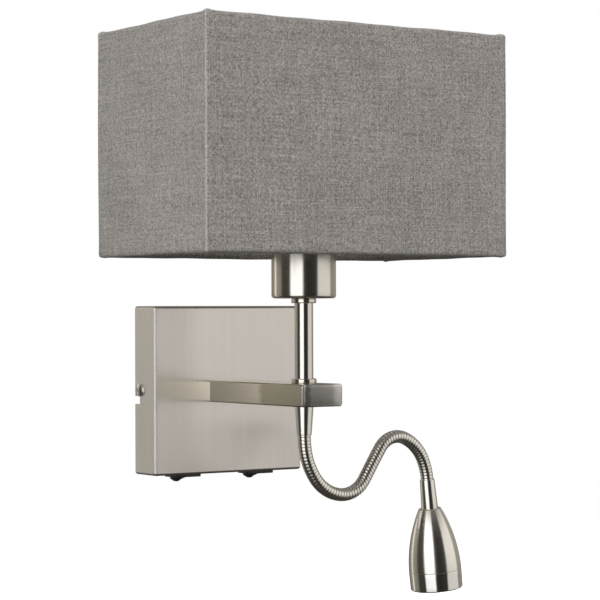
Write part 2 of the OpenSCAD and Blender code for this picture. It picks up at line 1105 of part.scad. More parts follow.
wall_bracket();
earth_screw();
terminal_block();
led_driver();
wall_box();
box_screws();
backing_plate();
arm_screws();
cable_grommet();
arm_root_block();
arm_tube();
arm_end_cap();
stem_rod();
stem_nuts();
lower_collar();
stem_tube();
upper_collar();
lampholder_cup();
lampholder_base();
lampholder_insert();
lampholder_shell();
lampholder_contacts();
lampholder_sleeve();
shade_rings();
shade_lower_frame();
shade_upper_frame();
shade_liner();
shade_fabric();
lamp_leads();
led_leads();
switch_housing_left();
switch_housing_right();
switch_terminals();
rocker_left();
rocker_right();
neck_nut();
neck_nipple();
neck_ferrule();
neck_root();
neck_link_1();
neck_link_2();
neck_link_3();
neck_link_4();
neck_link_5();
neck_link_6();
neck_tip();
head_ferrule();
head_nipple();
head_body();
heat_sink();
led_board();
led_emitter();
reflector();
head_lens();
head_ring();
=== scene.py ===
import math

import bmesh
import bpy
import numpy as np
from mathutils import Matrix, Vector


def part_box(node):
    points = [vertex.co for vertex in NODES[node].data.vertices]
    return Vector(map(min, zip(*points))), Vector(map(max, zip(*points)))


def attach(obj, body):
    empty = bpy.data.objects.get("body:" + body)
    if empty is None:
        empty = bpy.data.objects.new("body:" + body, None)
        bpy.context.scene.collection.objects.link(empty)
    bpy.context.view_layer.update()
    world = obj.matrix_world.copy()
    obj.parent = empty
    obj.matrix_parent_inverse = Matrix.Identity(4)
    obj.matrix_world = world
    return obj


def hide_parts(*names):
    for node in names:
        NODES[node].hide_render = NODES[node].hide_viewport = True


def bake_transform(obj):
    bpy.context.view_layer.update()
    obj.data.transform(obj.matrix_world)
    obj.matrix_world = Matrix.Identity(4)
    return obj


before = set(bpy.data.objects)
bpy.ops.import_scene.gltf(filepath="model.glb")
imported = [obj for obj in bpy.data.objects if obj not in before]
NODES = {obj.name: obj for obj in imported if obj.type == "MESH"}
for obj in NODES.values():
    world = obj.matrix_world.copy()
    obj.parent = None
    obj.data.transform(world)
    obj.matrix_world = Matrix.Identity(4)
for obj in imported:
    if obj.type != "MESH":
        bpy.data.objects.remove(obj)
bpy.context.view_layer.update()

# Shapes are in millimetres, and add_mesh turns them into metres. The camera, the lights and the numbers
# inside materials are in metres.
MM = 0.001
# Well past the object's back, in millimetres
FAR = 60
SCENE = bpy.context.scene


def node_box(name):
    lo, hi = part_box(name)
    return lo / MM, hi / MM


def at(x, y, z):
    return Matrix.Translation((x * MM, y * MM, z * MM))


# ---- camera

YAW, PITCH, ROLL = math.radians(-33.69), math.radians(0.37), math.radians(-0.21)
CAMERA_AT = (-0.7791, -1.28129, 0.05064)
camera_data = bpy.data.cameras.new("camera")
camera_data.sensor_width = 36
camera_data.lens = 130.98
camera_data.clip_start = 0.05
camera_data.clip_end = 60
camera = bpy.data.objects.new("camera", camera_data)
SCENE.collection.objects.link(camera)
SCENE.camera = camera
look = Vector((-math.sin(YAW) * math.cos(PITCH), math.cos(YAW) * math.cos(PITCH), math.sin(PITCH)))
side = Vector((math.cos(YAW), math.sin(YAW), 0))
up = side.cross(look)
right = math.cos(ROLL) * side + math.sin(ROLL) * up
up = -math.sin(ROLL) * side + math.cos(ROLL) * up
camera.matrix_world = Matrix.Translation(CAMERA_AT) @ Matrix((right, up, -look)).transposed().to_4x4()

# ---- light and stage

SCENE.view_settings.view_transform = "Standard"


def add(tree, kind, inputs=None, **settings):
    """A shader node with its inputs set to numbers or linked to other nodes' outputs."""
    node = tree.nodes.new("ShaderNode" + kind)
    for name, value in settings.items():
        setattr(node, name, value)
    for name, value in (inputs or {}).items():
        if isinstance(value, bpy.types.NodeSocket):
            tree.links.new(value, node.inputs[name])
        else:
            node.inputs[name].default_value = value
    return node


def maths(tree, operation, a, b=0.0, clamp=False):
    return add(tree, "Math", {0: a, 1: b}, operation=operation, use_clamp=clamp).outputs[0]


def times(tree, a, b, clamp=False):
    return maths(tree, "MULTIPLY", a, b, clamp)


def vectors(tree, operation, a, b, output=0):
    return add(tree, "VectorMath", {0: a, 1: b}, operation=operation).outputs[output]


def mix(tree, factor, a, b, data_type="RGBA", blend_type="MIX"):
    inputs = {"Factor": factor, "A": a, "B": b}
    return add(tree, "Mix", inputs, data_type=data_type, blend_type=blend_type).outputs["Result"]


def noise(tree, vector, scale, detail, rough=0.5):
    inputs = {"Vector": vector, "Scale": scale, "Detail": detail, "Roughness": rough}
    return add(tree, "TexNoise", inputs).outputs["Fac"]


def ramp(tree, value, stops):
    """A colour ramp. A stop's colour is three numbers, or one for a grey."""
    node = add(tree, "ValToRGB", {"Fac": value})
    elements = node.color_ramp.elements
    while len(elements) > 1:
        elements.remove(elements[0])
    for i, (place, colour) in enumerate(stops):
        element = elements[0] if i == 0 else elements.new(place)
        element.position = place
        if not hasattr(colour, "__len__"):
            colour = (colour, colour, colour)
        element.color = (*colour, 1)
    return node.outputs[0]


# The room's tones by bearing, in degrees: 0 is the camera's side, and bearings grow to its right
BANDS = [(bearing / 360 + 0.5, colour) for bearing, colour in (
    (-180, (0.20, 0.18, 0.16)), (-150, (0.24, 0.22, 0.19)), (-128, (0.34, 0.32, 0.28)),
    (-124, (1.0, 0.965, 0.86)), (-118, (1.0, 0.965, 0.86)), (-114, (0.34, 0.32, 0.28)),
    (-102, (0.31, 0.29, 0.25)), (-90, (0.26, 0.24, 0.21)), (-82, (0.06, 0.058, 0.05)),
    (-52, (0.055, 0.052, 0.045)), (-45, (1.5, 1.5, 1.5)), (-6, (1.5, 1.5, 1.5)), (0, (0.05, 0.048, 0.042)),
    (16, (0.025, 0.025, 0.022)), (48, (0.045, 0.043, 0.04)), (54, (0.78, 0.76, 0.72)),
    (106, (0.81, 0.79, 0.75)), (114, (0.30, 0.28, 0.25)), (150, (0.34, 0.32, 0.29)), (180, (0.20, 0.18, 0.16)),
)]
# Their strength from the floor, 0, to the ceiling, 1, and how the two close over them
LEVELS = [(0.0, 0.84), (0.46, 0.88), (0.5, 1.0), (0.54, 1.12), (1.0, 1.12)]
LIDS = [(0.0, 1.0), (0.20, 0.95), (0.38, 0.0), (0.68, 0.0), (0.84, 0.9), (1.0, 1.0)]
LID_TONES = [(0.0, (0.05, 0.045, 0.04)), (0.5, (0.035, 0.03, 0.025)), (0.6, (0.06, 0.055, 0.05)),
             (1.0, (0.30, 0.29, 0.28))]


def studio():
    """White to the camera; to reflections, the tall soft boxes and dark gaps of a studio, fixed in the room."""
    world = bpy.data.worlds.new("studio")
    SCENE.world = world
    world.use_nodes = True
    tree = world.node_tree
    tree.nodes.clear()
    way = add(tree, "TexCoord").outputs["Generated"]
    front = vectors(tree, "DOT_PRODUCT", way, (-0.5547, -0.832, 0), "Value")
    across = vectors(tree, "DOT_PRODUCT", way, (0.832, -0.5547, 0), "Value")
    bearing = maths(tree, "ARCTAN2", across, front)
    turns = maths(tree, "ADD", maths(tree, "DIVIDE", bearing, 2 * math.pi), 0.5)
    upwards = add(tree, "SeparateXYZ", {0: way}).outputs["Z"]
    height = maths(tree, "ADD", times(tree, upwards, 0.5), 0.5)
    walls = mix(tree, 1.0, ramp(tree, turns, BANDS), ramp(tree, height, LEVELS), blend_type="MULTIPLY")
    whole = mix(tree, ramp(tree, height, LIDS), walls, ramp(tree, height, LID_TONES))
    seen = add(tree, "LightPath").outputs["Is Camera Ray"]
    background = add(tree, "Background", {"Color": mix(tree, seen, whole, (1, 1, 1, 1)), "Strength": 1.0})
    tree.links.new(background.outputs[0], add(tree, "OutputWorld").inputs["Surface"])


def soft_box(name, place, size, power):
    """A square area light aimed at the middle of the lamp, and seen in no reflection."""
    target = Vector((0, -0.1, 0.1))
    light = bpy.data.lights.new(name, "AREA")
    light.shape = "RECTANGLE"
    light.size = light.size_y = size
    light.energy = power
    lamp = bpy.data.objects.new(name, light)
    SCENE.collection.objects.link(lamp)
    lamp.location = place
    lamp.rotation_mode = "QUATERNION"
    lamp.rotation_quaternion = (target - Vector(place)).to_track_quat("-Z", "Y")
    lamp.visible_glossy = False
    lamp.visible_camera = False


studio()
soft_box("key", (-2.4, -0.7, 0.7), 1.6, 62)
soft_box("fill", (0.9, -2.4, 0.7), 1.8, 46)
soft_box("top", (0.2, -0.2, 2.4), 2.0, 22)
soft_box("back", (2.2, 0.9, 0.9), 1.6, 22)


def stage_floor():
    """A pale round floor below the lamp, in rings of four-sided faces."""
    size, height, rings, spokes = 3500.0, -420, 8, 48
    verts, faces = [(0, 0, height)], []
    for i in range(1, rings + 1):
        r = size * i / rings
        for j in range(spokes):
            a = 2 * math.pi * j / spokes
            verts.append((r * math.cos(a), r * math.sin(a), height))
    for j in range(spokes):
        faces.append((0, 1 + j, 1 + (j + 1) % spokes))
    for i in range(rings - 1):
        for j in range(spokes):
            a, b = 1 + i * spokes + j, 1 + i * spokes + (j + 1) % spokes
            faces.append((a, a + spokes, b + spokes, b))
    floor = add_mesh("floor", verts, faces)
    mat, tree, shader = new_material("stage_white", **{"Base Color": (0.9, 0.9, 0.9, 1), "Roughness": 0.9})
    shader.inputs["Emission Color"].default_value = (1, 1, 1, 1)
    shader.inputs["Emission Strength"].default_value = 0.75
    grain = add(tree, "TexNoise", {"Scale": 3.0, "Detail": 2.0}).outputs["Fac"]
    tones(tree, shader, grain, 0.88, 0.92)
    floor.data.materials.append(mat)
    floor.visible_glossy = False
    floor.visible_diffuse = False


# ---- mesh tools


def add_mesh(name, verts, faces, uvs=None, sharp=38):
    mesh = bpy.data.meshes.new(name)
    mesh.from_pydata([(x * MM, y * MM, z * MM) for x, y, z in verts], [], faces)
    if uvs is not None:
        layer = mesh.uv_layers.new(name="surface")
        place = np.array(uvs, np.float32)
        corner = np.zeros(len(mesh.loops), np.int32)
        mesh.loops.foreach_get("vertex_index", corner)
        layer.data.foreach_set("uv", place[corner].ravel())
    obj = bpy.data.objects.new(name, mesh)
    SCENE.collection.objects.link(obj)
    smooth(obj, sharp)
    return obj


def smooth(obj, sharp=38):
    obj.data.shade_smooth()
    obj.data.set_sharp_from_angle(angle=math.radians(sharp))


def outwards(obj):
    mesh = bmesh.new()
    mesh.from_mesh(obj.data)
    bmesh.ops.recalc_face_normals(mesh, faces=mesh.faces)
    mesh.to_mesh(obj.data)
    mesh.free()


def settle(obj):
    """Applies the object's modifiers."""
    bpy.context.view_layer.update()
    graph = bpy.context.evaluated_depsgraph_get()
    mesh = bpy.data.meshes.new_from_object(obj.evaluated_get(graph))
    obj.modifiers.clear()
    obj.data = mesh


def rounded(points, radius=0.3, closed=True, steps=4):
    """The corners of a polyline replaced by arcs. A point's third number is its own radius."""
    out = []
    count = len(points)
    for i, point in enumerate(points):
        here = Vector(point[:2])
        size = point[2] if len(point) > 2 else radius
        if size == 0 or (not closed and i in (0, count - 1)):
            out.append(tuple(here))
            continue
        back = Vector(points[i - 1][:2]) - here
        on = Vector(points[(i + 1) % count][:2]) - here
        angle = back.angle(on)
        if angle > math.pi - 0.03:
            out.append(tuple(here))
            continue
        cut = min(size / math.tan(angle / 2), 0.45 * back.length, 0.45 * on.length)
        size = cut * math.tan(angle / 2)
        middle = here + (back.normalized() + on.normalized()).normalized() * size / math.sin(angle / 2)
        first = here + back.normalized() * cut - middle
        last = here + on.normalized() * cut - middle
        for k in range(steps + 1):
            out.append(tuple(middle + first.lerp(last, k / steps).normalized() * size))
    return out


def closed_faces(rings, count):
    """The faces of a grid of points that closes both ways round."""
    faces = []
    for i in range(rings):
        here, on = i * count, (i + 1) % rings * count
        for j in range(count):
            n = (j + 1) % count
            faces.append((here + j, here + n, on + n, on + j))
    return faces


def lathe(name, profile, place, segments=96, closed=True, radial=None):
    """A turned piece about its own Z. radial(r, z, angle) can add knurls or a thread."""
    verts, uvs, rings, run = [], [], [], 0.0
    for k, (r, z) in enumerate(profile):
        if k:
            run += math.dist(profile[k - 1], profile[k])
        if r < 1e-4:
            rings.append([len(verts)])
            verts.append((0, 0, z))
            uvs.append((0, run))
            continue
        rings.append(list(range(len(verts), len(verts) + segments)))
        for j in range(segments):
            a = 2 * math.pi * j / segments
            size = radial(r, z, a) if radial else r
            verts.append((size * math.cos(a), size * math.sin(a), z))
            uvs.append((j / segments, run))
    faces = []
    for a, b in zip(rings, rings[1:] + rings[:1] if closed else rings[1:]):
        for j in range(segments):
            n = (j + 1) % segments
            if len(a) == 1:
                faces.append((a[0], b[n], b[j]))
            elif len(b) == 1:
                faces.append((a[j], a[n], b[0]))
            else:
                faces.append((a[j], a[n], b[n], b[j]))
    obj = add_mesh(name, verts, faces, uvs)
    outwards(obj)
    obj.matrix_world = place
    return obj


def outline(w, h, radius, steps, centre):
    """A rectangle with round corners, anticlockwise."""
    points = []
    for k, (sx, sy) in enumerate(((1, 1), (-1, 1), (-1, -1), (1, -1))):
        for i in range(steps + 1):
            a = math.radians(90 * k + 90 * i / steps)
            points.append((centre[0] + sx * (w / 2 - radius) + radius * math.cos(a),
                           centre[1] + sy * (h / 2 - radius) + radius * math.sin(a)))
    return points


# For each axis of extrusion, the directions of the outline's two numbers and of the extrusion
AXES = {"X": ((0, 1, 0), (0, 0, 1), (1, 0, 0)), "Y": ((1, 0, 0), (0, 0, 1), (0, 1, 0)),
        "Z": ((1, 0, 0), (0, 1, 0), (0, 0, 1))}


def extrude(name, points, axis, start, end, edge=0.0, steps=3, place=Matrix()):
    """A solid with the given outline along an axis, its end edges rounded."""
    u, v, w = (Vector(x) for x in AXES[axis])
    sign = 1 if end > start else -1
    rows = [(start, 0), (end, 0)]
    if edge:
        arc = [math.radians(90 * k / steps) for k in range(steps + 1)]
        rows = [(start + sign * edge * (1 - math.cos(a)), edge * (1 - math.sin(a))) for a in arc]
        rows += [(end - sign * edge * (1 - math.cos(a)), edge * (1 - math.sin(a))) for a in reversed(arc)]
    verts, count = [], len(points)
    for level, inset in rows:
        for p in inset_outline(points, inset) if inset else points:
            verts.append(tuple(u * p[0] + v * p[1] + w * level))
    # The sides, without the faces that would join the last ring to the first, and the two ends
    faces = closed_faces(len(rows), count)[:-count]
    faces += [tuple(range(count)), tuple(range(len(verts) - count, len(verts)))]
    obj = add_mesh(name, verts, faces)
    outwards(obj)
    obj.matrix_world = place
    return obj


def inset_outline(points, inset):
    out = []
    count = len(points)
    pairs = [(points[i], points[(i + 1) % count]) for i in range(count)]
    way = 1 if sum(a[0] * b[1] - b[0] * a[1] for a, b in pairs) > 0 else -1
    for i in range(count):
        before = Vector(points[i]) - Vector(points[i - 1])
        after = Vector(points[(i + 1) % count]) - Vector(points[i])
        if before.length < 1e-6:
            before = after
        if after.length < 1e-6:
            after = before
        n = Vector((-before.y, before.x)).normalized() + Vector((-after.y, after.x)).normalized()
        n = n.normalized() / max(0.5, math.cos(before.angle(after) / 2))
        out.append(tuple(Vector(points[i]) + n * inset * way))
    return out


def cut(obj, *tools):
    for tool in tools:
        modifier = obj.modifiers.new("cut", "BOOLEAN")
        modifier.operation = "DIFFERENCE"
        modifier.solver = "EXACT"
        modifier.object = tool
    settle(obj)
    for tool in tools:
        bpy.data.objects.remove(tool)
    smooth(obj, 30)


def soften(obj, width):
    """Rounds the sharp edges left by cutting."""
    modifier = obj.modifiers.new("soften", "BEVEL")
    modifier.width = width * MM
    modifier.segments = 2
    modifier.limit_method = "ANGLE"
    modifier.angle_limit = math.radians(50)
    settle(obj)
    smooth(obj, 42)


def flatten_normals(obj):
    """Big flat faces keep their own normal, so that only the rounded edges shade as curves."""
    modifier = obj.modifiers.new("flat faces", "WEIGHTED_NORMAL")
    modifier.mode = "FACE_AREA"
    modifier.weight = 50
    modifier.keep_sharp = True


def join(name, pieces):
    """Several meshes as one piece, its object at the origin."""
    bpy.context.view_layer.update()
    mesh = bmesh.new()
    for piece in pieces:
        part = piece.data.copy()
        part.transform(piece.matrix_world)
        mesh.from_mesh(part)
    data = bpy.data.meshes.new(name)
    mesh.to_mesh(data)
    mesh.free()
    for piece in pieces:
        bpy.data.objects.remove(piece)
    obj = bpy.data.objects.new(name, data)
    SCENE.collection.objects.link(obj)
    smooth(obj)
    return obj


def finish_piece(obj, material, body, slot, *nodes):
    obj.data.materials.clear()
    obj.data.materials.append(material)
    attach(obj, body)
    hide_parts(*nodes)
    return obj


# ---- materials


def new_material(name, **settings):
    mat = bpy.data.materials.new(name)
    mat.use_nodes = True
    tree = mat.node_tree
    shader = tree.nodes["Principled BSDF"]
    for key, value in settings.items():
        shader.inputs[key].default_value = value
    return mat, tree, shader


def bump(tree, shader, height, distance, strength=1.0):
    node = add(tree, "Bump", {"Height": height, "Distance": distance, "Strength": strength})
    tree.links.new(node.outputs["Normal"], shader.inputs["Normal"])


def tones(tree, shader, factor, dark, light, low=0.3, high=0.7):
    tree.links.new(ramp(tree, factor, [(low, dark), (high, light)]), shader.inputs["Base Color"])


def edge_mask(tree, xyz, lo, hi, width, along=None):
    """One on the rounded edges of a box given in millimetres, nothing on its faces. along picks one direction."""
    near = []
    for value, a, b in zip(xyz, lo, hi):
        off = maths(tree, "ABSOLUTE", maths(tree, "SUBTRACT", value, (a + b) / 2 * MM))
        inside = maths(tree, "SUBTRACT", off, ((b - a) / 2 - width) * MM)
        near.append(times(tree, inside, 1 / (width * MM), clamp=True))
    pairs = [times(tree, near[k], near[(k + 1) % 3]) for k in range(3)]
    if along:
        return pairs["ZXY".index(along)]
    return maths(tree, "ADD", maths(tree, "ADD", pairs[0], pairs[1]), pairs[2], clamp=True)


def brushed(name, colour, rough, grain, across=1500.0, along=14.0, depth=8e-7, aniso=0.8, spread=0.03, streak=0.05,
            edges=None):
    """Metal with fine grooves along X, Y or Z, or turned about the piece's own Z. With edges, it also paints a
    highlight or shade into the colour of a box's rounded edges and sets their roughness.
    """
    mat, tree, shader = new_material(name, Metallic=1.0, Roughness=rough, Anisotropic=aniso)
    point = add(tree, "TexCoord").outputs["Object"]
    split = add(tree, "SeparateXYZ", {0: point})
    x, y, z = (split.outputs[k] for k in "XYZ")
    if grain == "turned":
        radius = maths(tree, "SQRT", maths(tree, "ADD", times(tree, x, x), times(tree, y, y)))
        axes = [radius, times(tree, maths(tree, "ARCTAN2", y, x), 0.02), z]
        scale = [across, along * 3, across]
        groove = vectors(tree, "CROSS_PRODUCT", (0, 0, 1), point)
    else:
        axes = [x, y, z]
        scale = [along if axis == grain else across for axis in "XYZ"]
        groove = {"X": (1, 0.02, 0.03), "Y": (0.03, 1, 0.02), "Z": (0.02, 0.03, 1)}[grain]
    place = add(tree, "CombineXYZ", dict(enumerate(axes))).outputs[0]
    fine = noise(tree, vectors(tree, "MULTIPLY", place, scale), 1.0, 2.0, 0.6)
    broad = noise(tree, vectors(tree, "MULTIPLY", place, [s * 0.17 for s in scale]), 1.0, 2.0)
    smudge = noise(tree, point, 28.0, 3.0)
    blend = maths(tree, "ADD", times(tree, fine, 0.5), times(tree, broad, 0.5))
    tone = maths(tree, "ADD", times(tree, blend, 0.7), times(tree, smudge, 0.3))
    dark, light = [c * (1 - streak) for c in colour], [min(1, c * (1 + streak * 0.7)) for c in colour]
    base = ramp(tree, tone, [(0.36, dark), (0.64, light)])
    gloss = ramp(tree, tone, [(0.3, rough - spread), (0.7, rough + spread)])
    if edges:
        # Painted highlight or painted shade: the rounded edges take the edge colour
        painted_edge = edge_mask(tree, (x, y, z), **edges["where"])
        base = mix(tree, painted_edge, base, (*edges["colour"], 1))
        gloss = mix(tree, painted_edge, gloss, (edges["rough"],) * 3 + (1,))
        # Painted shade: the level colour darkens the edges that run along X
        if "level" in edges:
            painted_dark_edges = edge_mask(tree, (x, y, z), **{**edges["where"], "width": 1.6, "along": "X"})
            base = mix(tree, painted_dark_edges, base, (*edges["level"], 1))
    tree.links.new(base, shader.inputs["Base Color"])
    tree.links.new(gloss, shader.inputs["Roughness"])
    bump(tree, shader, blend, depth)
    normal = add(tree, "NewGeometry").outputs["Normal"]
    tangent = add(tree, "VectorMath", {0: vectors(tree, "CROSS_PRODUCT", groove, normal)}, operation="NORMALIZE")
    tree.links.new(tangent.outputs[0], shader.inputs["Tangent"])
    return mat


def uneven(mat, lo, hi, across, up):
    """Paints reflected light and shade into a material's colour over the width and height of a piece, with soft
    wandering borders.
    """
    tree = mat.node_tree
    base = tree.nodes["Principled BSDF"].inputs["Base Color"]
    point = add(tree, "TexCoord").outputs["Object"]
    split = add(tree, "SeparateXYZ", {0: point})
    wander = times(tree, maths(tree, "SUBTRACT", noise(tree, point, 220.0, 2.0), 0.5), 0.10)
    colour = base.links[0].from_socket
    for axis, a, b, stops in (("X", lo.x, hi.x, across), ("Z", lo.z, hi.z, up)):
        off = maths(tree, "SUBTRACT", split.outputs[axis], a * MM)
        share = maths(tree, "ADD", maths(tree, "DIVIDE", off, (b - a) * MM), wander)
        colour = mix(tree, 1.0, colour, ramp(tree, share, stops), blend_type="MULTIPLY")
    tree.links.new(colour, base)


def moulded(name, colour, rough, grain=2600.0, depth=4e-6, tint=0.06, metallic=0.0, coat=0.0):
    """Moulded plastic or cast metal: a fine pebbled skin with slightly uneven tone and gloss."""
    mat, tree, shader = new_material(name, Roughness=rough, Metallic=metallic, **{"Coat Weight": coat})
    point = add(tree, "TexCoord").outputs["Object"]
    skin = noise(tree, point, grain, 2.0)
    flow = noise(tree, point, 45.0, 3.0)
    tones(tree, shader, flow, [c * (1 - tint) for c in colour], [min(1, c * (1 + tint)) for c in colour])
    tree.links.new(ramp(tree, flow, [(0.3, rough - 0.05), (0.7, rough + 0.06)]), shader.inputs["Roughness"])
    bump(tree, shader, skin, depth)
    return mat


def hose_material():
    """Bright wound steel hose, with painted shade in the grooves between its turns."""
    mat, tree, shader = new_material("hose_metal", Metallic=1.0, Roughness=0.24)
    surface = add(tree, "SeparateXYZ", {0: add(tree, "UVMap", uv_map="surface").outputs[0]})
    along = maths(tree, "DIVIDE", surface.outputs["Y"], HOSE_PITCH * MM)
    turn = maths(tree, "FRACT", maths(tree, "SUBTRACT", along, surface.outputs["X"]))
    ridge = maths(tree, "SINE", times(tree, turn, math.pi))
    # Painted shade: the colour darkens from the crests into the grooves
    steel = ramp(tree, ridge, [(0.0, (0.20, 0.185, 0.165)), (0.2, (0.58, 0.55, 0.50)), (0.42, (0.86, 0.83, 0.77))])
    tree.links.new(steel, shader.inputs["Base Color"])
    wear = noise(tree, add(tree, "TexCoord").outputs["Object"], 260.0, 3.0)
    tree.links.new(ramp(tree, wear, [(0.3, 0.16), (0.7, 0.24)]), shader.inputs["Roughness"])
    bump(tree, shader, wear, 1e-6)
    return mat


def linen(name, light, dark, corners):
    """Plain-weave linen with uneven threads and slubs, on a surface mapped in metres."""
    mat, tree, shader = new_material(name, Roughness=0.88, **{
        "Sheen Weight": 0.18, "Sheen Roughness": 0.45, "Specular IOR Level": 0.25})
    surface = add(tree, "SeparateXYZ", {0: add(tree, "UVMap", uv_map="surface").outputs[0]})
    pitch = 0.00056

    def strand(a, b, seed, detail):
        place = add(tree, "CombineXYZ", {0: a, 1: b, 2: seed}).outputs[0]
        return noise(tree, place, 1.0, detail)

    heights, shades = [], []
    for this, other, seed in (("X", "Y", 0.0), ("Y", "X", 40.0)):
        place = surface.outputs[this]
        length = surface.outputs[other]
        drift = strand(times(tree, length, 55.0), times(tree, place, 260.0), seed, 1.0)
        count = maths(tree, "DIVIDE", maths(tree, "ADD", place, times(tree, drift, 0.0006)), pitch)
        number = maths(tree, "FLOOR", count)
        cross = maths(tree, "SINE", times(tree, maths(tree, "FRACT", count), math.pi))
        # Over one crossing thread, under the next
        phase = maths(tree, "ADD", maths(tree, "DIVIDE", length, pitch), number)
        over = maths(tree, "SINE", times(tree, maths(tree, "ADD", phase, 0.25 if seed else 0.75), math.pi))
        swell = maths(tree, "ADD", times(tree, over, 0.30), 0.66)
        slub = strand(times(tree, number, 3.71), times(tree, length, 70.0), seed + 9, 2.0)
        thick = ramp(tree, slub, [(0.35, 0.72), (0.58, 0.95), (0.70, 1.25)])
        heights.append(times(tree, times(tree, cross, swell), thick))
        tone = strand(times(tree, number, 2.13), times(tree, length, 600.0), seed + 21, 0.0)
        streak = strand(times(tree, number, 1.37), times(tree, length, 28.0), seed + 55, 0.0)
        shades.append(maths(tree, "ADD", times(tree, tone, 0.69), times(tree, streak, 0.31)))
    height = maths(tree, "MAXIMUM", heights[0], heights[1])
    first = maths(tree, "GREATER_THAN", heights[0], heights[1])
    tone = mix(tree, first, shades[1], shades[0], data_type="FLOAT")
    middle = [(a + b) / 2 for a, b in zip(dark, light)]
    thread = ramp(tree, tone, [(0.33, dark), (0.5, middle), (0.67, light)])
    # Painted shade between the threads, and a little painted light on their crowns
    thread_gap_shade = ramp(tree, height, [(0.15, 0.45), (0.55, 1.0), (0.95, 1.12)])
    cloth = mix(tree, 1.0, thread, thread_gap_shade, blend_type="MULTIPLY")
    dye = noise(tree, add(tree, "TexCoord").outputs["Object"], 22.0, 3.0)
    dyed = mix(tree, 1.0, cloth, ramp(tree, dye, [(0.3, 0.95), (0.7, 1.05)]), blend_type="MULTIPLY")
    # Painted highlight: a pale line along the four upright corners, for the sheen of the bent cloth
    nearest = 1.0
    for corner in corners:
        off = maths(tree, "ABSOLUTE", maths(tree, "SUBTRACT", surface.outputs["X"], corner * MM))
        nearest = maths(tree, "MINIMUM", off, nearest)
    ridge = maths(tree, "SUBTRACT", 1.0, maths(tree, "DIVIDE", nearest, 0.0008), clamp=True)
    place = add(tree, "CombineXYZ", {0: surface.outputs["X"], 1: surface.outputs["Y"], 2: 0.0}).outputs[0]
    painted_corner_sheen = times(tree, ridge, times(tree, noise(tree, place, 500.0, 1.0), 1.3))
    tree.links.new(mix(tree, painted_corner_sheen, dyed, (0.37, 0.352, 0.335, 1)), shader.inputs["Base Color"])
    bump(tree, shader, height, 0.00016, 0.9)
    return mat


def film_material():
    """White film with the cloth's weave printed faintly through it."""
    mat, tree, shader = new_material("shade_film", Roughness=0.55)
    surface = add(tree, "UVMap", uv_map="surface").outputs[0]
    weave = noise(tree, vectors(tree, "MULTIPLY", surface, (1800, 1800, 1)), 1.0, 1.0)
    tones(tree, shader, noise(tree, surface, 30.0, 3.0), (0.78, 0.76, 0.71), (0.84, 0.82, 0.78))
    bump(tree, shader, weave, 0.00003, 0.6)
    return mat


def lens_material():
    mat, tree, shader = new_material("lens_clear", Roughness=0.05, IOR=1.49, **{"Transmission Weight": 1.0})
    point = add(tree, "TexCoord").outputs["Object"]
    cells = add(tree, "TexVoronoi", {"Vector": point, "Scale": 520.0}, feature="SMOOTH_F1").outputs["Distance"]
    tones(tree, shader, noise(tree, point, 300.0, 2.0), (0.90, 0.93, 0.95), (0.97, 0.98, 0.99))
    bump(tree, shader, cells, 0.0002, 0.5)
    return mat


box_lo, box_hi = node_box("wall_box")
arm_lo, arm_hi = node_box("arm_tube")
cap_lo, cap_hi = node_box("arm_end_cap")
BOX = {"lo": box_lo, "hi": (box_hi.x, FAR, box_hi.z)}
ARM = {"lo": (arm_lo.x, cap_lo.y, arm_lo.z), "hi": (arm_hi.x, FAR, arm_hi.z)}
TURNED = {"aniso": 0.6, "depth": 3e-7, "spread": 0.02, "streak": 0.03}

# Painted highlight on the box's upright rounded edges, and painted shade (the level colour) on its edges along X
box_nickel = brushed("box_nickel", (0.985, 0.93, 0.885), 0.32, "Z", aniso=0.92, streak=0.045, edges={
    "where": {**BOX, "width": 2.6, "along": "Z"}, "colour": (0.97, 0.95, 0.91), "rough": 0.50,
    "level": (0.16, 0.125, 0.085)})
# Painted shade on the arm's long rounded edges
arm_nickel = brushed("arm_nickel", (0.70, 0.665, 0.555), 0.15, "Y", along=20.0, aniso=0.9, spread=0.02, edges={
    "where": {**ARM, "width": 0.9, "along": "Y"}, "colour": (0.26, 0.235, 0.19), "rough": 0.34})
# Painted reflection on the cap: a painted highlight on its edges, and the call below paints a dark band near its
# left end, a highlight at its right and lighter towards the top; its base colour is darker than the box's to stand
# in for its darker reflection
cap_nickel = brushed("cap_nickel", (0.62, 0.60, 0.575), 0.42, "X", along=60.0, aniso=0.3, spread=0.05, streak=0.16,
                     edges={"where": {**ARM, "width": 2.3}, "colour": (0.95, 0.92, 0.87), "rough": 0.40})
uneven(cap_nickel, cap_lo, cap_hi, across=[
    (0.0, 1.0), (0.055, 0.95), (0.085, 0.27), (0.15, 0.27), (0.22, 0.46), (0.45, 0.46), (0.72, 0.56), (0.84, 0.9),
    (0.93, 1.0), (1.0, 0.7)], up=[(0.0, 0.66), (0.3, 0.85), (0.55, 0.98), (0.85, 1.06), (1.0, 1.3)])
turned_nickel = brushed("turned_nickel", (0.78, 0.745, 0.69), 0.17, "turned", **TURNED)
head_nickel = brushed("head_nickel", (0.88, 0.85, 0.79), 0.20, "turned", **TURNED)
polished_nickel = brushed("polished_nickel", (0.86, 0.84, 0.80), 0.09, "turned", depth=1e-7, aniso=0.2, spread=0.02,
                          streak=0.02)
aluminium = brushed("turned_aluminium", (0.80, 0.81, 0.82), 0.30, "turned", aniso=0.4)
screw_nickel = moulded("screw_nickel", (0.93, 0.91, 0.86), 0.14, grain=900.0, depth=2e-6, metallic=1.0)
zinc = moulded("zinc_plate", (0.72, 0.735, 0.72), 0.34, grain=900.0, depth=3e-6, metallic=1.0, tint=0.12)
brass = moulded("brass", (0.78, 0.60, 0.30), 0.30, grain=1200.0, depth=3e-6, metallic=1.0, tint=0.12)
black_plastic = moulded("black_plastic", (0.012, 0.012, 0.013), 0.32, grain=3200.0, depth=6e-6)
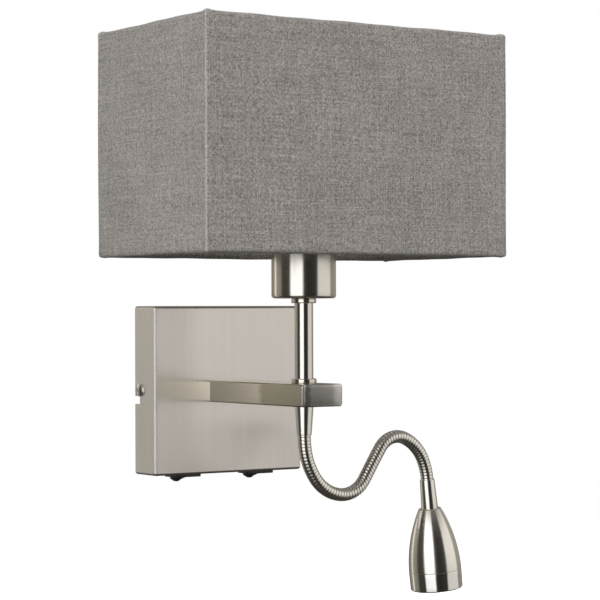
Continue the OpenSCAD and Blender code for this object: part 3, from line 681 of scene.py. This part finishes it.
white_plastic = moulded("white_plastic", (0.80, 0.79, 0.75), 0.42, depth=5e-6, tint=0.03)
driver_plastic = moulded("driver_plastic", (0.83, 0.83, 0.81), 0.5, depth=8e-6, tint=0.03)
ceramic = moulded("ceramic_glaze", (0.84, 0.82, 0.77), 0.16, grain=500.0, depth=3e-6, tint=0.03, coat=0.4)
rubber = moulded("rubber", (0.02, 0.02, 0.02), 0.62, grain=2200.0, depth=9e-6)
brown_lead = moulded("brown_silicone", (0.16, 0.07, 0.035), 0.45)
red_lead = moulded("red_silicone", (0.42, 0.03, 0.02), 0.45)
board = moulded("solder_mask", (0.85, 0.86, 0.85), 0.4, tint=0.02)
phosphor = moulded("phosphor", (0.90, 0.66, 0.16), 0.2, tint=0.05, coat=0.6)
HOSE_PITCH = 2.15
hose_metal = hose_material()
shade_film = film_material()
lens_clear = lens_material()

stage_floor()

# ---- shade

shade_lo, shade_hi = node_box("shade_fabric")
SHADE_W, SHADE_D = shade_hi.x - shade_lo.x, shade_hi.y - shade_lo.y
SHADE_MID = ((shade_lo.x + shade_hi.x) / 2, (shade_lo.y + shade_hi.y) / 2)
SHADE_LOW, SHADE_HIGH = shade_lo.z, shade_hi.z
CORNER_R = 1.9
CORNER_STEPS = 6
WIRE_INSET, WIRE_R, WIRE_RISE = 3.0, 1.5, 2.0
# Half the cloth's thickness
HALF = 0.34
# The lap seam: its width, how much thicker it is, and where it runs, on the side by the wall
LAP, LAP_THICK, LAP_AT = 12.0, 0.5, -52.0
SEAM = (SHADE_W - 2 * CORNER_R) / 2 - LAP_AT
rng = np.random.default_rng(7)
RIPPLES = [(rng.uniform(0.03, 0.11), rng.uniform(0, 2 * math.pi), rng.uniform(0.02, 0.06),
            rng.uniform(0, 2 * math.pi)) for _ in range(9)]


def shade_stations():
    """Places round the shade, as (kind, side number, share of the side or corner, distance run), the corners'
    middles, and the distance once round."""
    stations, corners, run = [], [], 0.0
    for number, length in enumerate([SHADE_W, SHADE_D, SHADE_W, SHADE_D]):
        flat = length - 2 * CORNER_R
        places = list(np.linspace(0, flat, int(flat / 2.6) + 1))
        if number == 0:
            # Close spacing at the lap seam
            places = sorted(set(places) | {SEAM + d for d in (-1.2, -0.7, -0.35, -0.1, 0.1, 0.35, 0.8, 1.6)})
        for place in places:
            stations.append(("side", number, place / flat, run + place))
        run += flat
        corners.append(run + CORNER_R * math.pi / 4)
        for k in range(1, CORNER_STEPS):
            share = k / CORNER_STEPS
            stations.append(("corner", number, share, run + CORNER_R * math.pi / 2 * k / CORNER_STEPS))
        run += CORNER_R * math.pi / 2
    return stations, corners, run


STATIONS, CORNERS, ROUND_IT = shade_stations()


def shade_point(station, inset):
    """Where a station lies at a given depth in from the outside."""
    kind, number, share, _ = station
    w, d = SHADE_W / 2 - inset, SHADE_D / 2 - inset
    r = max(CORNER_R - inset, 0.9)
    turns = [(w, d), (-w, d), (-w, -d), (w, -d)]
    (ax, ay), (bx, by) = turns[number], turns[(number + 1) % 4]
    way = Vector((bx - ax, by - ay)).normalized()
    out = Vector((way.y, -way.x))
    first, last = Vector((ax, ay)) + way * r, Vector((bx, by)) - way * r
    if kind == "side":
        p = first.lerp(last, share)
    else:
        p = last - out * r + (Matrix.Rotation(math.pi / 2 * share, 2) @ out) * r
    return p.x + SHADE_MID[0], p.y + SHADE_MID[1]


def shade_swell(run, z):
    """How far the laminated cloth stands out from flat."""
    total = 0.0
    for k, phase, kz, phase_z in RIPPLES:
        total += math.sin(k * run + phase) * math.cos(kz * (z - SHADE_LOW) + phase_z)
    return 0.055 * total


def lap_rise(run):
    """How far the lap stands out: a cut edge at its start, and a soft end."""
    d = run - SEAM
    if d < -0.4 or d > LAP + 2:
        return 0.0
    if d < 0.4:
        return LAP_THICK * (d + 0.4) / 0.8
    return LAP_THICK * max(0.0, min(1.0, (LAP + 2 - d) / 4))


def corner_push(run):
    """The frame's bent corners push the rolled edge out a little."""
    nearest = min(abs(run - corner) for corner in CORNERS)
    return min(1.0, 1.5 * math.exp(-(nearest / 3.4) ** 2))


def shade_section():
    """The cloth's middle line, from inside the lower roll to inside the upper one: (inset, height, share that
    follows the outer face)."""
    low, high = SHADE_LOW + WIRE_RISE, SHADE_HIGH - WIRE_RISE
    reach = WIRE_R + 0.42
    line = [(1.78, low + 11.0, 0), (1.78, low + 7.0, 0), (1.80, low + 3.6, 0), (2.2, low + 2.35, 0)]
    for a in np.radians([62, 40, 15, -12, -40, -65, -90, -112]):
        line.append((WIRE_INSET + reach * math.cos(a), low + reach * math.sin(a), 0))
    line += [(1.45, low - 1.50, 0.3), (0.75, low - 1.05, 0.7), (0.40, low - 0.30, 1), (0.36, low + 0.9, 1),
             (0.36, low + 2.4, 1)]
    rolled = len(line)
    for z in np.linspace(low + 5, high - 5, 34):
        line.append((0.36, float(z), 1))
    upper = [(inset, low + high - z, share) for inset, z, share in line[:rolled]]
    return line + upper[::-1]


def make_shade():
    line = shade_section()
    steps = [0.0]
    for a, b in zip(line, line[1:]):
        steps.append(steps[-1] + math.dist(a[:2], b[:2]))
    normals = []
    for k in range(len(line)):
        a, b = line[max(k - 1, 0)], line[min(k + 1, len(line) - 1)]
        t = Vector((b[0] - a[0], b[1] - a[1])).normalized()
        normals.append((-t.y, t.x))
    loop = [(k, 1) for k in range(len(line))] + [(k, -1) for k in range(len(line) - 1, -1, -1)]
    verts, uvs = [], []
    for station in STATIONS:
        run = station[3]
        push, rise = corner_push(run), lap_rise(run)
        ripple = 0.16 * math.sin(0.083 * run + 1.0) + 0.12 * math.sin(0.19 * run + 2.2)
        for k, way in loop:
            inset, z, share = line[k]
            # These fade in over the last 5 mm at either edge
            low_edge = max(0.0, 1 - (z - SHADE_LOW) / 5)
            high_edge = max(0.0, 1 - (SHADE_HIGH - z) / 5)
            out = share * shade_swell(run, z) + share * rise * (1 if way > 0 else 0.6)
            inset_here = inset + normals[k][0] * HALF * way - out - 0.25 * push * (low_edge + high_edge)
            lift = high_edge * (0.75 * push + ripple) - low_edge * (0.45 * push - 0.6 * ripple)
            verts.append((*shade_point(station, inset_here), z + normals[k][1] * HALF * way + lift))
            uvs.append((run * MM, steps[k] * MM))
    count, total = len(loop), len(STATIONS)
    obj = add_mesh("shade_cloth", verts, closed_faces(total, count), uvs, sharp=60)
    # The last column of faces closes the loop, so its map runs on instead of back to nought
    layer = obj.data.uv_layers["surface"]
    for face in obj.data.polygons[(total - 1) * count:]:
        for corner in face.loop_indices:
            if obj.data.loops[corner].vertex_index < count:
                layer.data[corner].uv.x = ROUND_IT * MM
    outwards(obj)
    material = linen("shade_linen", (0.388, 0.364, 0.344), (0.107, 0.098, 0.091), CORNERS)
    finish_piece(obj, material, "lamp", "shade_linen", "shade_fabric")


def make_liner():
    levels = list(np.linspace(SHADE_LOW + 1.0, SHADE_HIGH - 1.0, 36))
    loop = [(0.92, float(z)) for z in levels] + [(1.34, float(z)) for z in reversed(levels)]
    verts, uvs = [], []
    for station in STATIONS:
        for inset, z in loop:
            verts.append((*shade_point(station, inset - shade_swell(station[3], z)), z))
            uvs.append((station[3] * MM, z * MM))
    obj = add_mesh("shade_film", verts, closed_faces(len(STATIONS), len(loop)), uvs, sharp=60)
    outwards(obj)
    finish_piece(obj, shade_film, "lamp", "shade_film", "shade_liner")


make_shade()
make_liner()

# ---- wall box

EDGE_R, SHEET = 2.0, 1.2
# The two switches are centred here and at minus SWITCH_X
SWITCH_X, SWITCH_Y = 29, -13


def block(lo, hi):
    """A plain cutting tool."""
    verts = [(x, y, z) for x in (lo[0], hi[0]) for y in (lo[1], hi[1]) for z in (lo[2], hi[2])]
    faces = [(0, 1, 3, 2), (4, 6, 7, 5), (0, 4, 5, 1), (2, 3, 7, 6), (0, 2, 6, 4), (1, 5, 7, 3)]
    obj = add_mesh("tool", verts, faces)
    outwards(obj)
    return obj


def peg(centre, radius, length, axis):
    """A round cutting tool."""
    angles = [2 * math.pi * k / 48 for k in range(48)]
    points = [(radius * math.cos(a), radius * math.sin(a)) for a in angles]
    return extrude("tool", points, axis, -length / 2, length / 2, place=at(*centre))


def round_edges(obj, radius, keep, segments=6):
    """Rounds every edge that keep() says yes to, by its middle point in millimetres."""
    mesh = bmesh.new()
    mesh.from_mesh(obj.data)
    edges = [e for e in mesh.edges if keep((e.verts[0].co + e.verts[1].co) / 2 / MM)]
    bmesh.ops.bevel(mesh, geom=edges, offset=radius * MM, segments=segments, profile=0.5, affect="EDGES",
                    clamp_overlap=True)
    mesh.to_mesh(obj.data)
    mesh.free()
    obj.data.shade_smooth()


def make_wall_box():
    """The welded sheet cover: a round-edged block, hollowed, with its slots, openings and holes cut out."""
    obj = block(box_lo, box_hi)
    obj.name = "wall_box_shell"
    round_edges(obj, EDGE_R, lambda p: p.y < box_hi.y - 1)
    hollow = block((box_lo.x + SHEET, box_lo.y + SHEET, box_lo.z + SHEET), (box_hi.x - SHEET, 5, box_hi.z - SHEET))
    round_edges(hollow, 0.9, lambda p: p.y < 0, 4)
    tools = [hollow]
    for s in (-1, 1):
        wall, x = s * box_hi.x, s * SWITCH_X
        # Side slot, side screw, switch opening, arm screw
        tools.append(block((wall - 3, -12, -9.2), (wall + 3, 5, -3.9)))
        tools.append(peg((wall, -7.1, 0.2), 2.2, 6, "X"))
        tools.append(block((x - 9.5, SWITCH_Y - 6.5, box_lo.z - 3), (x + 9.5, SWITCH_Y + 6.5, box_lo.z + 3)))
        tools.append(peg((s * 9, box_lo.y, -1), 2.7, 8, "Y"))
    tools.append(peg((0, box_lo.y, -1), 3.95, 8, "Y"))
    cut(obj, *tools)
    soften(obj, 0.22)
    flatten_normals(obj)
    finish_piece(obj, box_nickel, "lamp", "brushed_nickel", "wall_box")


make_wall_box()

# ---- arm and stem

ARM_MID = ((arm_lo.x + arm_hi.x) / 2, (arm_lo.z + arm_hi.z) / 2)
ARM_W, ARM_H = arm_hi.x - arm_lo.x, arm_hi.z - arm_lo.z


def crown(obj):
    """Gives the cap's flat end face rings of its own, and lets the face fall away towards its edges."""
    mesh = bmesh.new()
    mesh.from_mesh(obj.data)
    face = min(mesh.faces, key=lambda f: f.calc_center_median().y)
    rim, middle = [v.co.copy() for v in face.verts], face.calc_center_bounds()
    outer = list(face.verts)
    bmesh.ops.delete(mesh, geom=[face], context="FACES_ONLY")
    for share in (0.95, 0.88, 0.8, 0.7, 0.55, 0.35, 0.15):
        ring = [mesh.verts.new(middle.lerp(co, share)) for co in rim]
        for i in range(len(rim)):
            n = (i + 1) % len(rim)
            mesh.faces.new((outer[i], outer[n], ring[n], ring[i]))
        outer = ring
    mesh.faces.new(outer)
    depth = (arm_lo.y - cap_lo.y) * MM
    for v in mesh.verts:
        front = min(1.0, max(0.0, (arm_lo.y * MM - v.co.y) / depth))
        x, z = (v.co.x - middle.x) / (ARM_W * MM / 2), (v.co.z - middle.z) / (ARM_H * MM / 2)
        v.co.y += front * (0.75 * abs(x) ** 3 + 0.16 * abs(z) ** 3) * MM
    bmesh.ops.recalc_face_normals(mesh, faces=mesh.faces)
    mesh.to_mesh(obj.data)
    mesh.free()
    smooth(obj)


obj = extrude("arm_bar", outline(ARM_W, ARM_H, 1.3, 6, ARM_MID), "Y", arm_hi.y, arm_lo.y, edge=0.14)
finish_piece(obj, arm_nickel, "lamp", "brushed_nickel", "arm_tube")
obj = extrude("arm_cap", outline(ARM_W, ARM_H, 2.0, 8, ARM_MID), "Y", arm_lo.y, cap_lo.y, edge=1.1, steps=7)
crown(obj)
finish_piece(obj, cap_nickel, "lamp", "brushed_nickel", "arm_end_cap")

stem_lo, stem_hi = node_box("stem_tube")
STEM = ((stem_lo.x + stem_hi.x) / 2, (stem_lo.y + stem_hi.y) / 2)
stem_place = at(*STEM, 0)
# The clearance round the stem's threaded rod
ROD_BORE = 5.1


def turned_at_stem(name, node, profile, material=turned_nickel, slot="brushed_nickel", radius=0.25, **options):
    obj = lathe(name, rounded(profile, radius), stem_place, **options)
    return finish_piece(obj, material, "lamp", slot, node)


for name in ("lower_collar", "upper_collar"):
    lo, hi = node_box(name)
    r = (hi.x - lo.x) / 2
    turned_at_stem(name + "_turned", name, [
        (ROD_BORE, lo.z), (r - 0.5, lo.z, 0.1), (r, lo.z + 0.45, 0.35), (r, hi.z - 0.45, 0.35),
        (r - 0.5, hi.z, 0.1), (ROD_BORE, hi.z)])
r = (stem_hi.x - stem_lo.x) / 2
turned_at_stem("stem_barrel", "stem_tube", [
    *((r, float(z), 0) for z in np.linspace(stem_lo.z, stem_hi.z, 12)),
    (ROD_BORE, stem_hi.z), (ROD_BORE, stem_lo.z)])
lo, hi = node_box("lampholder_cup")
r = (hi.x - lo.x) / 2
turned_at_stem("holder_cup", "lampholder_cup", [
    (ROD_BORE, lo.z), (r, lo.z, 2.7),
    *((r, float(z), 0) for z in np.linspace(lo.z + 4, hi.z - 2, 8)),
    (r, hi.z, 0.35), (r - 0.8, hi.z, 0.3), (r - 0.8, lo.z + 0.8, 1.0), (ROD_BORE, lo.z + 0.8)], segments=144)

# ---- lampholder

sleeve_lo, sleeve_hi = node_box("lampholder_sleeve")
r = (sleeve_hi.x - sleeve_lo.x) / 2
levels = np.arange(sleeve_lo.z + 0.2, sleeve_hi.z - 1.6, 0.42)


def sleeve_thread(radius, z, angle):
    if radius < r - 0.6 or z > sleeve_hi.z - 1.8:
        return radius
    return radius - 0.38 + 0.36 * math.sin(2 * math.pi * z / 2.5 - angle)


lip = rounded([(r - 0.3, sleeve_hi.z, 0.4), (13.7, sleeve_hi.z, 0.4), (13.7, sleeve_hi.z - 1, 0.1),
               (14.05, sleeve_hi.z - 1.1, 0), (14.05, sleeve_lo.z, 0)], 0.2, closed=False)
obj = lathe("holder_sleeve", [(r, float(z)) for z in levels] + lip, stem_place, segments=144, radial=sleeve_thread)
finish_piece(obj, white_plastic, "lamp", "white_plastic", "lampholder_sleeve")

shell_lo, shell_hi = node_box("lampholder_shell")
levels = np.arange(shell_lo.z, shell_hi.z, 0.5)


def shell_thread(radius, z, angle):
    return radius if radius > 13.9 else 13.62 + 0.30 * math.sin(2 * math.pi * z / 3.63 - angle)


obj = lathe("socket_shell", [
    *((13.5, float(z)) for z in levels), (13.95, shell_hi.z), (13.98, shell_hi.z - 0.3), (13.98, shell_lo.z)],
    stem_place, segments=96, radial=shell_thread)
finish_piece(obj, zinc, "lamp", "zinc_steel", "lampholder_shell")

ring_lo, ring_hi = node_box("shade_rings")


def knurl(radius, z, angle):
    """Sixty grips round the rings' edge."""
    return radius - 0.45 * (0.5 + 0.5 * math.cos(60 * angle)) if radius > 26 else radius


rings = []
for low in (ring_lo.z, ring_hi.z - 4):
    profile = rounded([(19.8, low), (26.4, low, 0.5), (27.0, low + 0.5, 0.2), (27.0, low + 3.5, 0.2),
                       (26.4, low + 4, 0.5), (19.8, low + 4)], 0.3)
    rings.append(lathe("ring", profile, stem_place, segments=360, radial=knurl))
finish_piece(join("holder_rings", rings), white_plastic, "lamp", "white_plastic", "shade_rings")

# ---- gooseneck

# [length, turn in degrees] of each link's arc, from the arm to the head
NECK_ARCS = [(8, 7), (22, 29), (23, 47.5), (23, 65), (23, -2.5), (23, -80.5), (22, -42.5), (13, -17)]
ferrule_lo, ferrule_hi = node_box("neck_ferrule")
neck_lo, neck_hi = node_box("neck_root")
NECK_R = (neck_hi.x - neck_lo.x) / 2
NECK_X, NECK_Y, NECK_TOP = *STEM, ferrule_lo.z
# The bore the hose goes into, and the bore round the head's nipple
HOSE_BORE, NIPPLE_BORE = 4.14, 3.05


def neck_line():
    """Start, heading and end of every arc. Headings are radians from straight down, turning towards +X."""
    arcs, p, heading = [], Vector((NECK_X, NECK_TOP)), 0.0
    for length, turn in NECK_ARCS:
        turn = math.radians(turn)
        way = 1 if turn > 0 else -1
        size = length / abs(turn)
        centre = p + way * size * Vector((math.cos(heading), math.sin(heading)))
        arcs.append((p.copy(), heading, length, turn, centre, way * size))
        heading += turn
        p = centre - way * size * Vector((math.cos(heading), math.sin(heading)))
    return arcs, p, heading


NECK, NECK_END, END_HEADING = neck_line()
NECK_LENGTH = sum(length for length, _ in NECK_ARCS)


def neck_at(s):
    """Point and heading at a distance along the neck, which runs straight on at both ends."""
    if s <= 0:
        return Vector((NECK_X, NECK_TOP - s)), 0.0
    if s >= NECK_LENGTH:
        way = Vector((math.sin(END_HEADING), -math.cos(END_HEADING)))
        return NECK_END + way * (s - NECK_LENGTH), END_HEADING
    for p, heading, length, turn, centre, size in NECK:
        if s <= length:
            here = heading + turn * s / length
            return centre - size * Vector((math.cos(here), math.sin(here))), here
        s -= length


def hose(name, first, last, around=44):
    """A stretch of the ribbed hose. Its ribs wind round it, so they meet from one stretch to the next."""
    ribs = [0.19] + [0.066 * (k / 5 - 1) ** 2 for k in range(1, 10)]
    rows = range(round(first / HOSE_PITCH * len(ribs)), round(last / HOSE_PITCH * len(ribs)) + 1)
    verts, uvs = [], []
    for row in rows:
        for j in range(around + 1):
            s = HOSE_PITCH * (row / len(ribs) + j / around)
            p, heading = neck_at(s)
            a = 2 * math.pi * j / around
            size = NECK_R - ribs[row % len(ribs)]
            across = size * math.cos(a)
            verts.append((p.x + math.cos(heading) * across, NECK_Y + size * math.sin(a),
                          p.y + math.sin(heading) * across))
            uvs.append((j / around, s * MM))
    faces = []
    for i in range(len(rows) - 1):
        for j in range(around):
            a = i * (around + 1) + j
            faces.append((a, a + 1, a + around + 2, a + around + 1))
    return add_mesh(name, verts, faces, uvs, sharp=80)


JOINTS = np.cumsum([length for length, _ in NECK_ARCS])[:-1]
# Where one stretch of hose ends and the next begins, and how far to either side of a joint the span worked out
# below reaches
ENDS = [-5.0, *((a + b) / 2 for a, b in zip(JOINTS, JOINTS[1:])), NECK_LENGTH + 7.0]
SPREAD = 10


def neck_point(s):
    p, _ = neck_at(s)
    return (p.x * MM, NECK_Y * MM, p.y * MM)


for k, joint in enumerate(JOINTS):
    first, last = ENDS[k], ENDS[k + 1]
    piece = hose(f"hose_{k + 1}", first, last)
    piece.data.materials.append(hose_metal)
    # The two end joints stop short of the ferrules
    start = max(first, joint - SPREAD) if k else 2.0
    end = min(last, joint + SPREAD) if k < 6 else joint + 9
    neck_point(start)
    neck_point(end)
    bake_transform(piece)
    covers = {0: ["neck_root", "neck_link_1"], 6: ["neck_tip"]}.get(k, [f"neck_link_{k + 1}"])
    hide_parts(*covers)

low, high = ferrule_lo.z, ferrule_hi.z
turned_at_stem("neck_collar", "neck_ferrule", [
    (HOSE_BORE, low), (4.55, low, 0.15), (4.75, low + 0.35, 0.2),
    *((4.75 + 1.35 * t, low + 0.35 + (high - low - 0.35) * t, 0) for t in (0.2, 0.4, 0.6, 0.8)),
    (6.1, high, 0.1), (HOSE_BORE, high)], material=head_nickel, slot="turned_nickel")

# ---- reading head

tilt = Matrix.Rotation(-END_HEADING, 4, "Y")
neck_end = at(NECK_END.x, NECK_Y, NECK_END.y) @ tilt
FERRULE = 19.3
head = neck_end @ at(0, 0, -FERRULE)
HEAD_R, OGIVE_R, OGIVE_BASE, HEAD_LENGTH, BODY = 17.6, 95.0, 43.0, 54.0, 41.4


def turned_at_head(name, node, profile, material, slot, place=head, radius=0.25, **options):
    obj = lathe(name, rounded(profile, radius), place, **options)
    return finish_piece(obj, material, "reading_head", slot, node)


turned_at_head("head_collar", "head_ferrule", [
    (HOSE_BORE, 0), (4.75, 0, 0.15), (4.9, -0.35, 0.2),
    *((4.9 + 0.7 * t, -0.35 - (FERRULE - 0.35) * t, 0) for t in (0.25, 0.5, 0.75)),
    (5.6, -FERRULE, 0.1), (NIPPLE_BORE, -FERRULE), (NIPPLE_BORE, -8.2), (HOSE_BORE, -8.2)],
    head_nickel, "turned_nickel", place=neck_end)


def ogive(z, inset=0.0):
    return HEAD_R - OGIVE_R + math.sqrt((OGIVE_R - inset) ** 2 - (z + OGIVE_BASE) ** 2)


outer = [(ogive(z), float(z), 0) for z in np.linspace(-0.8, -BODY + 0.5, 40)]
inner = [(ogive(z, 1.6), float(z), 0) for z in np.linspace(-BODY, -4.5, 24)]
turned_at_head("head_shell", "head_body", [
    (NIPPLE_BORE, 0), (ogive(0), 0, 0.7), *outer, (ogive(-BODY), -BODY, 0.25), *inner, (NIPPLE_BORE, -4.5)],
    head_nickel, "turned_nickel", segments=128)
# The lens seat's level
SEAT = -HEAD_LENGTH + 1.5
turned_at_head("head_rim", "head_ring", [
    (13.4, -HEAD_LENGTH, 0.3), (16.9, -HEAD_LENGTH, 0.5), (17.45, -HEAD_LENGTH + 0.7, 0.4),
    *((17.45 + 0.15 * t, -HEAD_LENGTH + 0.7 + 11.9 * t, 0) for t in (0.25, 0.5, 0.75)),
    (HEAD_R, -BODY, 0.3), (15.7, -BODY, 0.1), (15.7, -BODY + 5, 0.2), (14.8, -BODY + 5, 0.2),
    (14.8, SEAT, 0.05), (13.4, SEAT, 0.2)], polished_nickel, "polished_nickel", segments=128)

MOUTH, THROAT = -50.3, -33.7
bowl = [(3.8 + 9.5 * t ** 0.62, THROAT + (MOUTH + 0.3 - THROAT) * t) for t in np.linspace(0, 1, 14)]


def facet(radius, z, angle):
    """Twenty-four facets round the bowl, down to its lip."""
    return radius - 0.10 * abs(math.sin(12 * angle)) if z > MOUTH + 1 else radius


obj = lathe("reflector_bowl", [
    *bowl, (13.65, MOUTH), (13.65, MOUTH + 0.5), *((r + 0.35, z + 0.3) for r, z in reversed(bowl[1:-1])),
    (4.3, THROAT)], head, segments=96, radial=facet)
finish_piece(obj, polished_nickel, "reading_head", "polished_nickel", "reflector")

low, high = SEAT, SEAT + 2
ribs = []
for k in range(13, 0, -1):
    ribs += [(k + 0.05, high - 0.02), (k - 0.45, high), (k - 0.55, high - 0.30)]
obj = lathe("head_lens_ribbed", [
    (0, low), (14.2, low), (14.65, low + 0.3), (14.65, high - 0.2), (14.3, high), *ribs, (0, high - 0.1)],
    head, segments=96, closed=False)
finish_piece(obj, lens_clear, "reading_head", "lens_clear", "head_lens")

# ---- switches


def make_switch(word, sign):
    x, y = sign * SWITCH_X, SWITCH_Y
    lo, hi = node_box(f"switch_housing_{word}")
    bezel = extrude("bezel", outline(21, 15, 2.0, 6, (x, y)), "Z", lo.z, box_lo.z - 0.01, edge=0.55, steps=4)
    body = extrude("body", outline(18.8, 12.8, 0.8, 3, (x, y)), "Z", box_lo.z - 0.2, hi.z, edge=0.4)
    housing = join(f"switch_case_{word}", [bezel, body])
    cut(housing, block((x - 9.1, y - 5.5, lo.z - 2), (x + 9.1, y + 5.5, lo.z + 10)))
    soften(housing, 0.18)
    finish_piece(housing, black_plastic, "lamp", "black_plastic", f"switch_housing_{word}")
    # The rocker: a dished key, tipped to one side and narrower towards its crest
    crest, pivot_z = 2.92, lo.z + 1.5
    dish = [(float(q), -40.58 + math.sqrt(38.5 ** 2 - q * q), 0) for q in np.linspace(-7.6, 7.6, 25)]
    shape = rounded([(-8.0, -crest, 0.35), *dish, (8.0, -crest, 0.35), (8.2, 0, 0.6), (6.4, 2.4, 0.4),
                     (-6.4, 2.4, 0.4), (-8.2, 0, 0.6)], 0.3)
    rocker = extrude(f"rocker_key_{word}", shape, "Y", -5.3, 5.3, edge=2.2, steps=8,
                     place=at(x, y, pivot_z) @ Matrix.Rotation(math.radians(-15), 4, "Y"))
    for vertex in rocker.data.vertices:
        deep = max(0.0, -vertex.co.z / (crest * MM))
        vertex.co.y *= 1 - 0.42 * deep
        vertex.co.x *= 1 - 0.16 * deep
    finish_piece(rocker, black_plastic, f"rocker_{word}", "black_plastic", f"rocker_{word}")


make_switch("left", -1)
make_switch("right", 1)

# ---- carried-over CAD nodes

for names, material in (
    (("box_screws",), screw_nickel),
    (("wall_bracket", "backing_plate", "arm_screws", "arm_root_block", "stem_rod", "stem_nuts", "neck_nut",
      "neck_nipple", "head_nipple", "shade_lower_frame", "shade_upper_frame"), zinc),
    (("earth_screw", "switch_terminals", "lampholder_contacts"), brass),
    (("terminal_block", "lampholder_base"), white_plastic),
    (("led_driver",), driver_plastic),
    (("lampholder_insert",), ceramic),
    (("cable_grommet",), rubber),
    (("lamp_leads",), brown_lead),
    (("led_leads",), red_lead),
    (("heat_sink",), aluminium),
    (("led_board",), board),
    (("led_emitter",), phosphor),
):
    for name in names:
        for slot in NODES[name].material_slots:
            slot.material = material
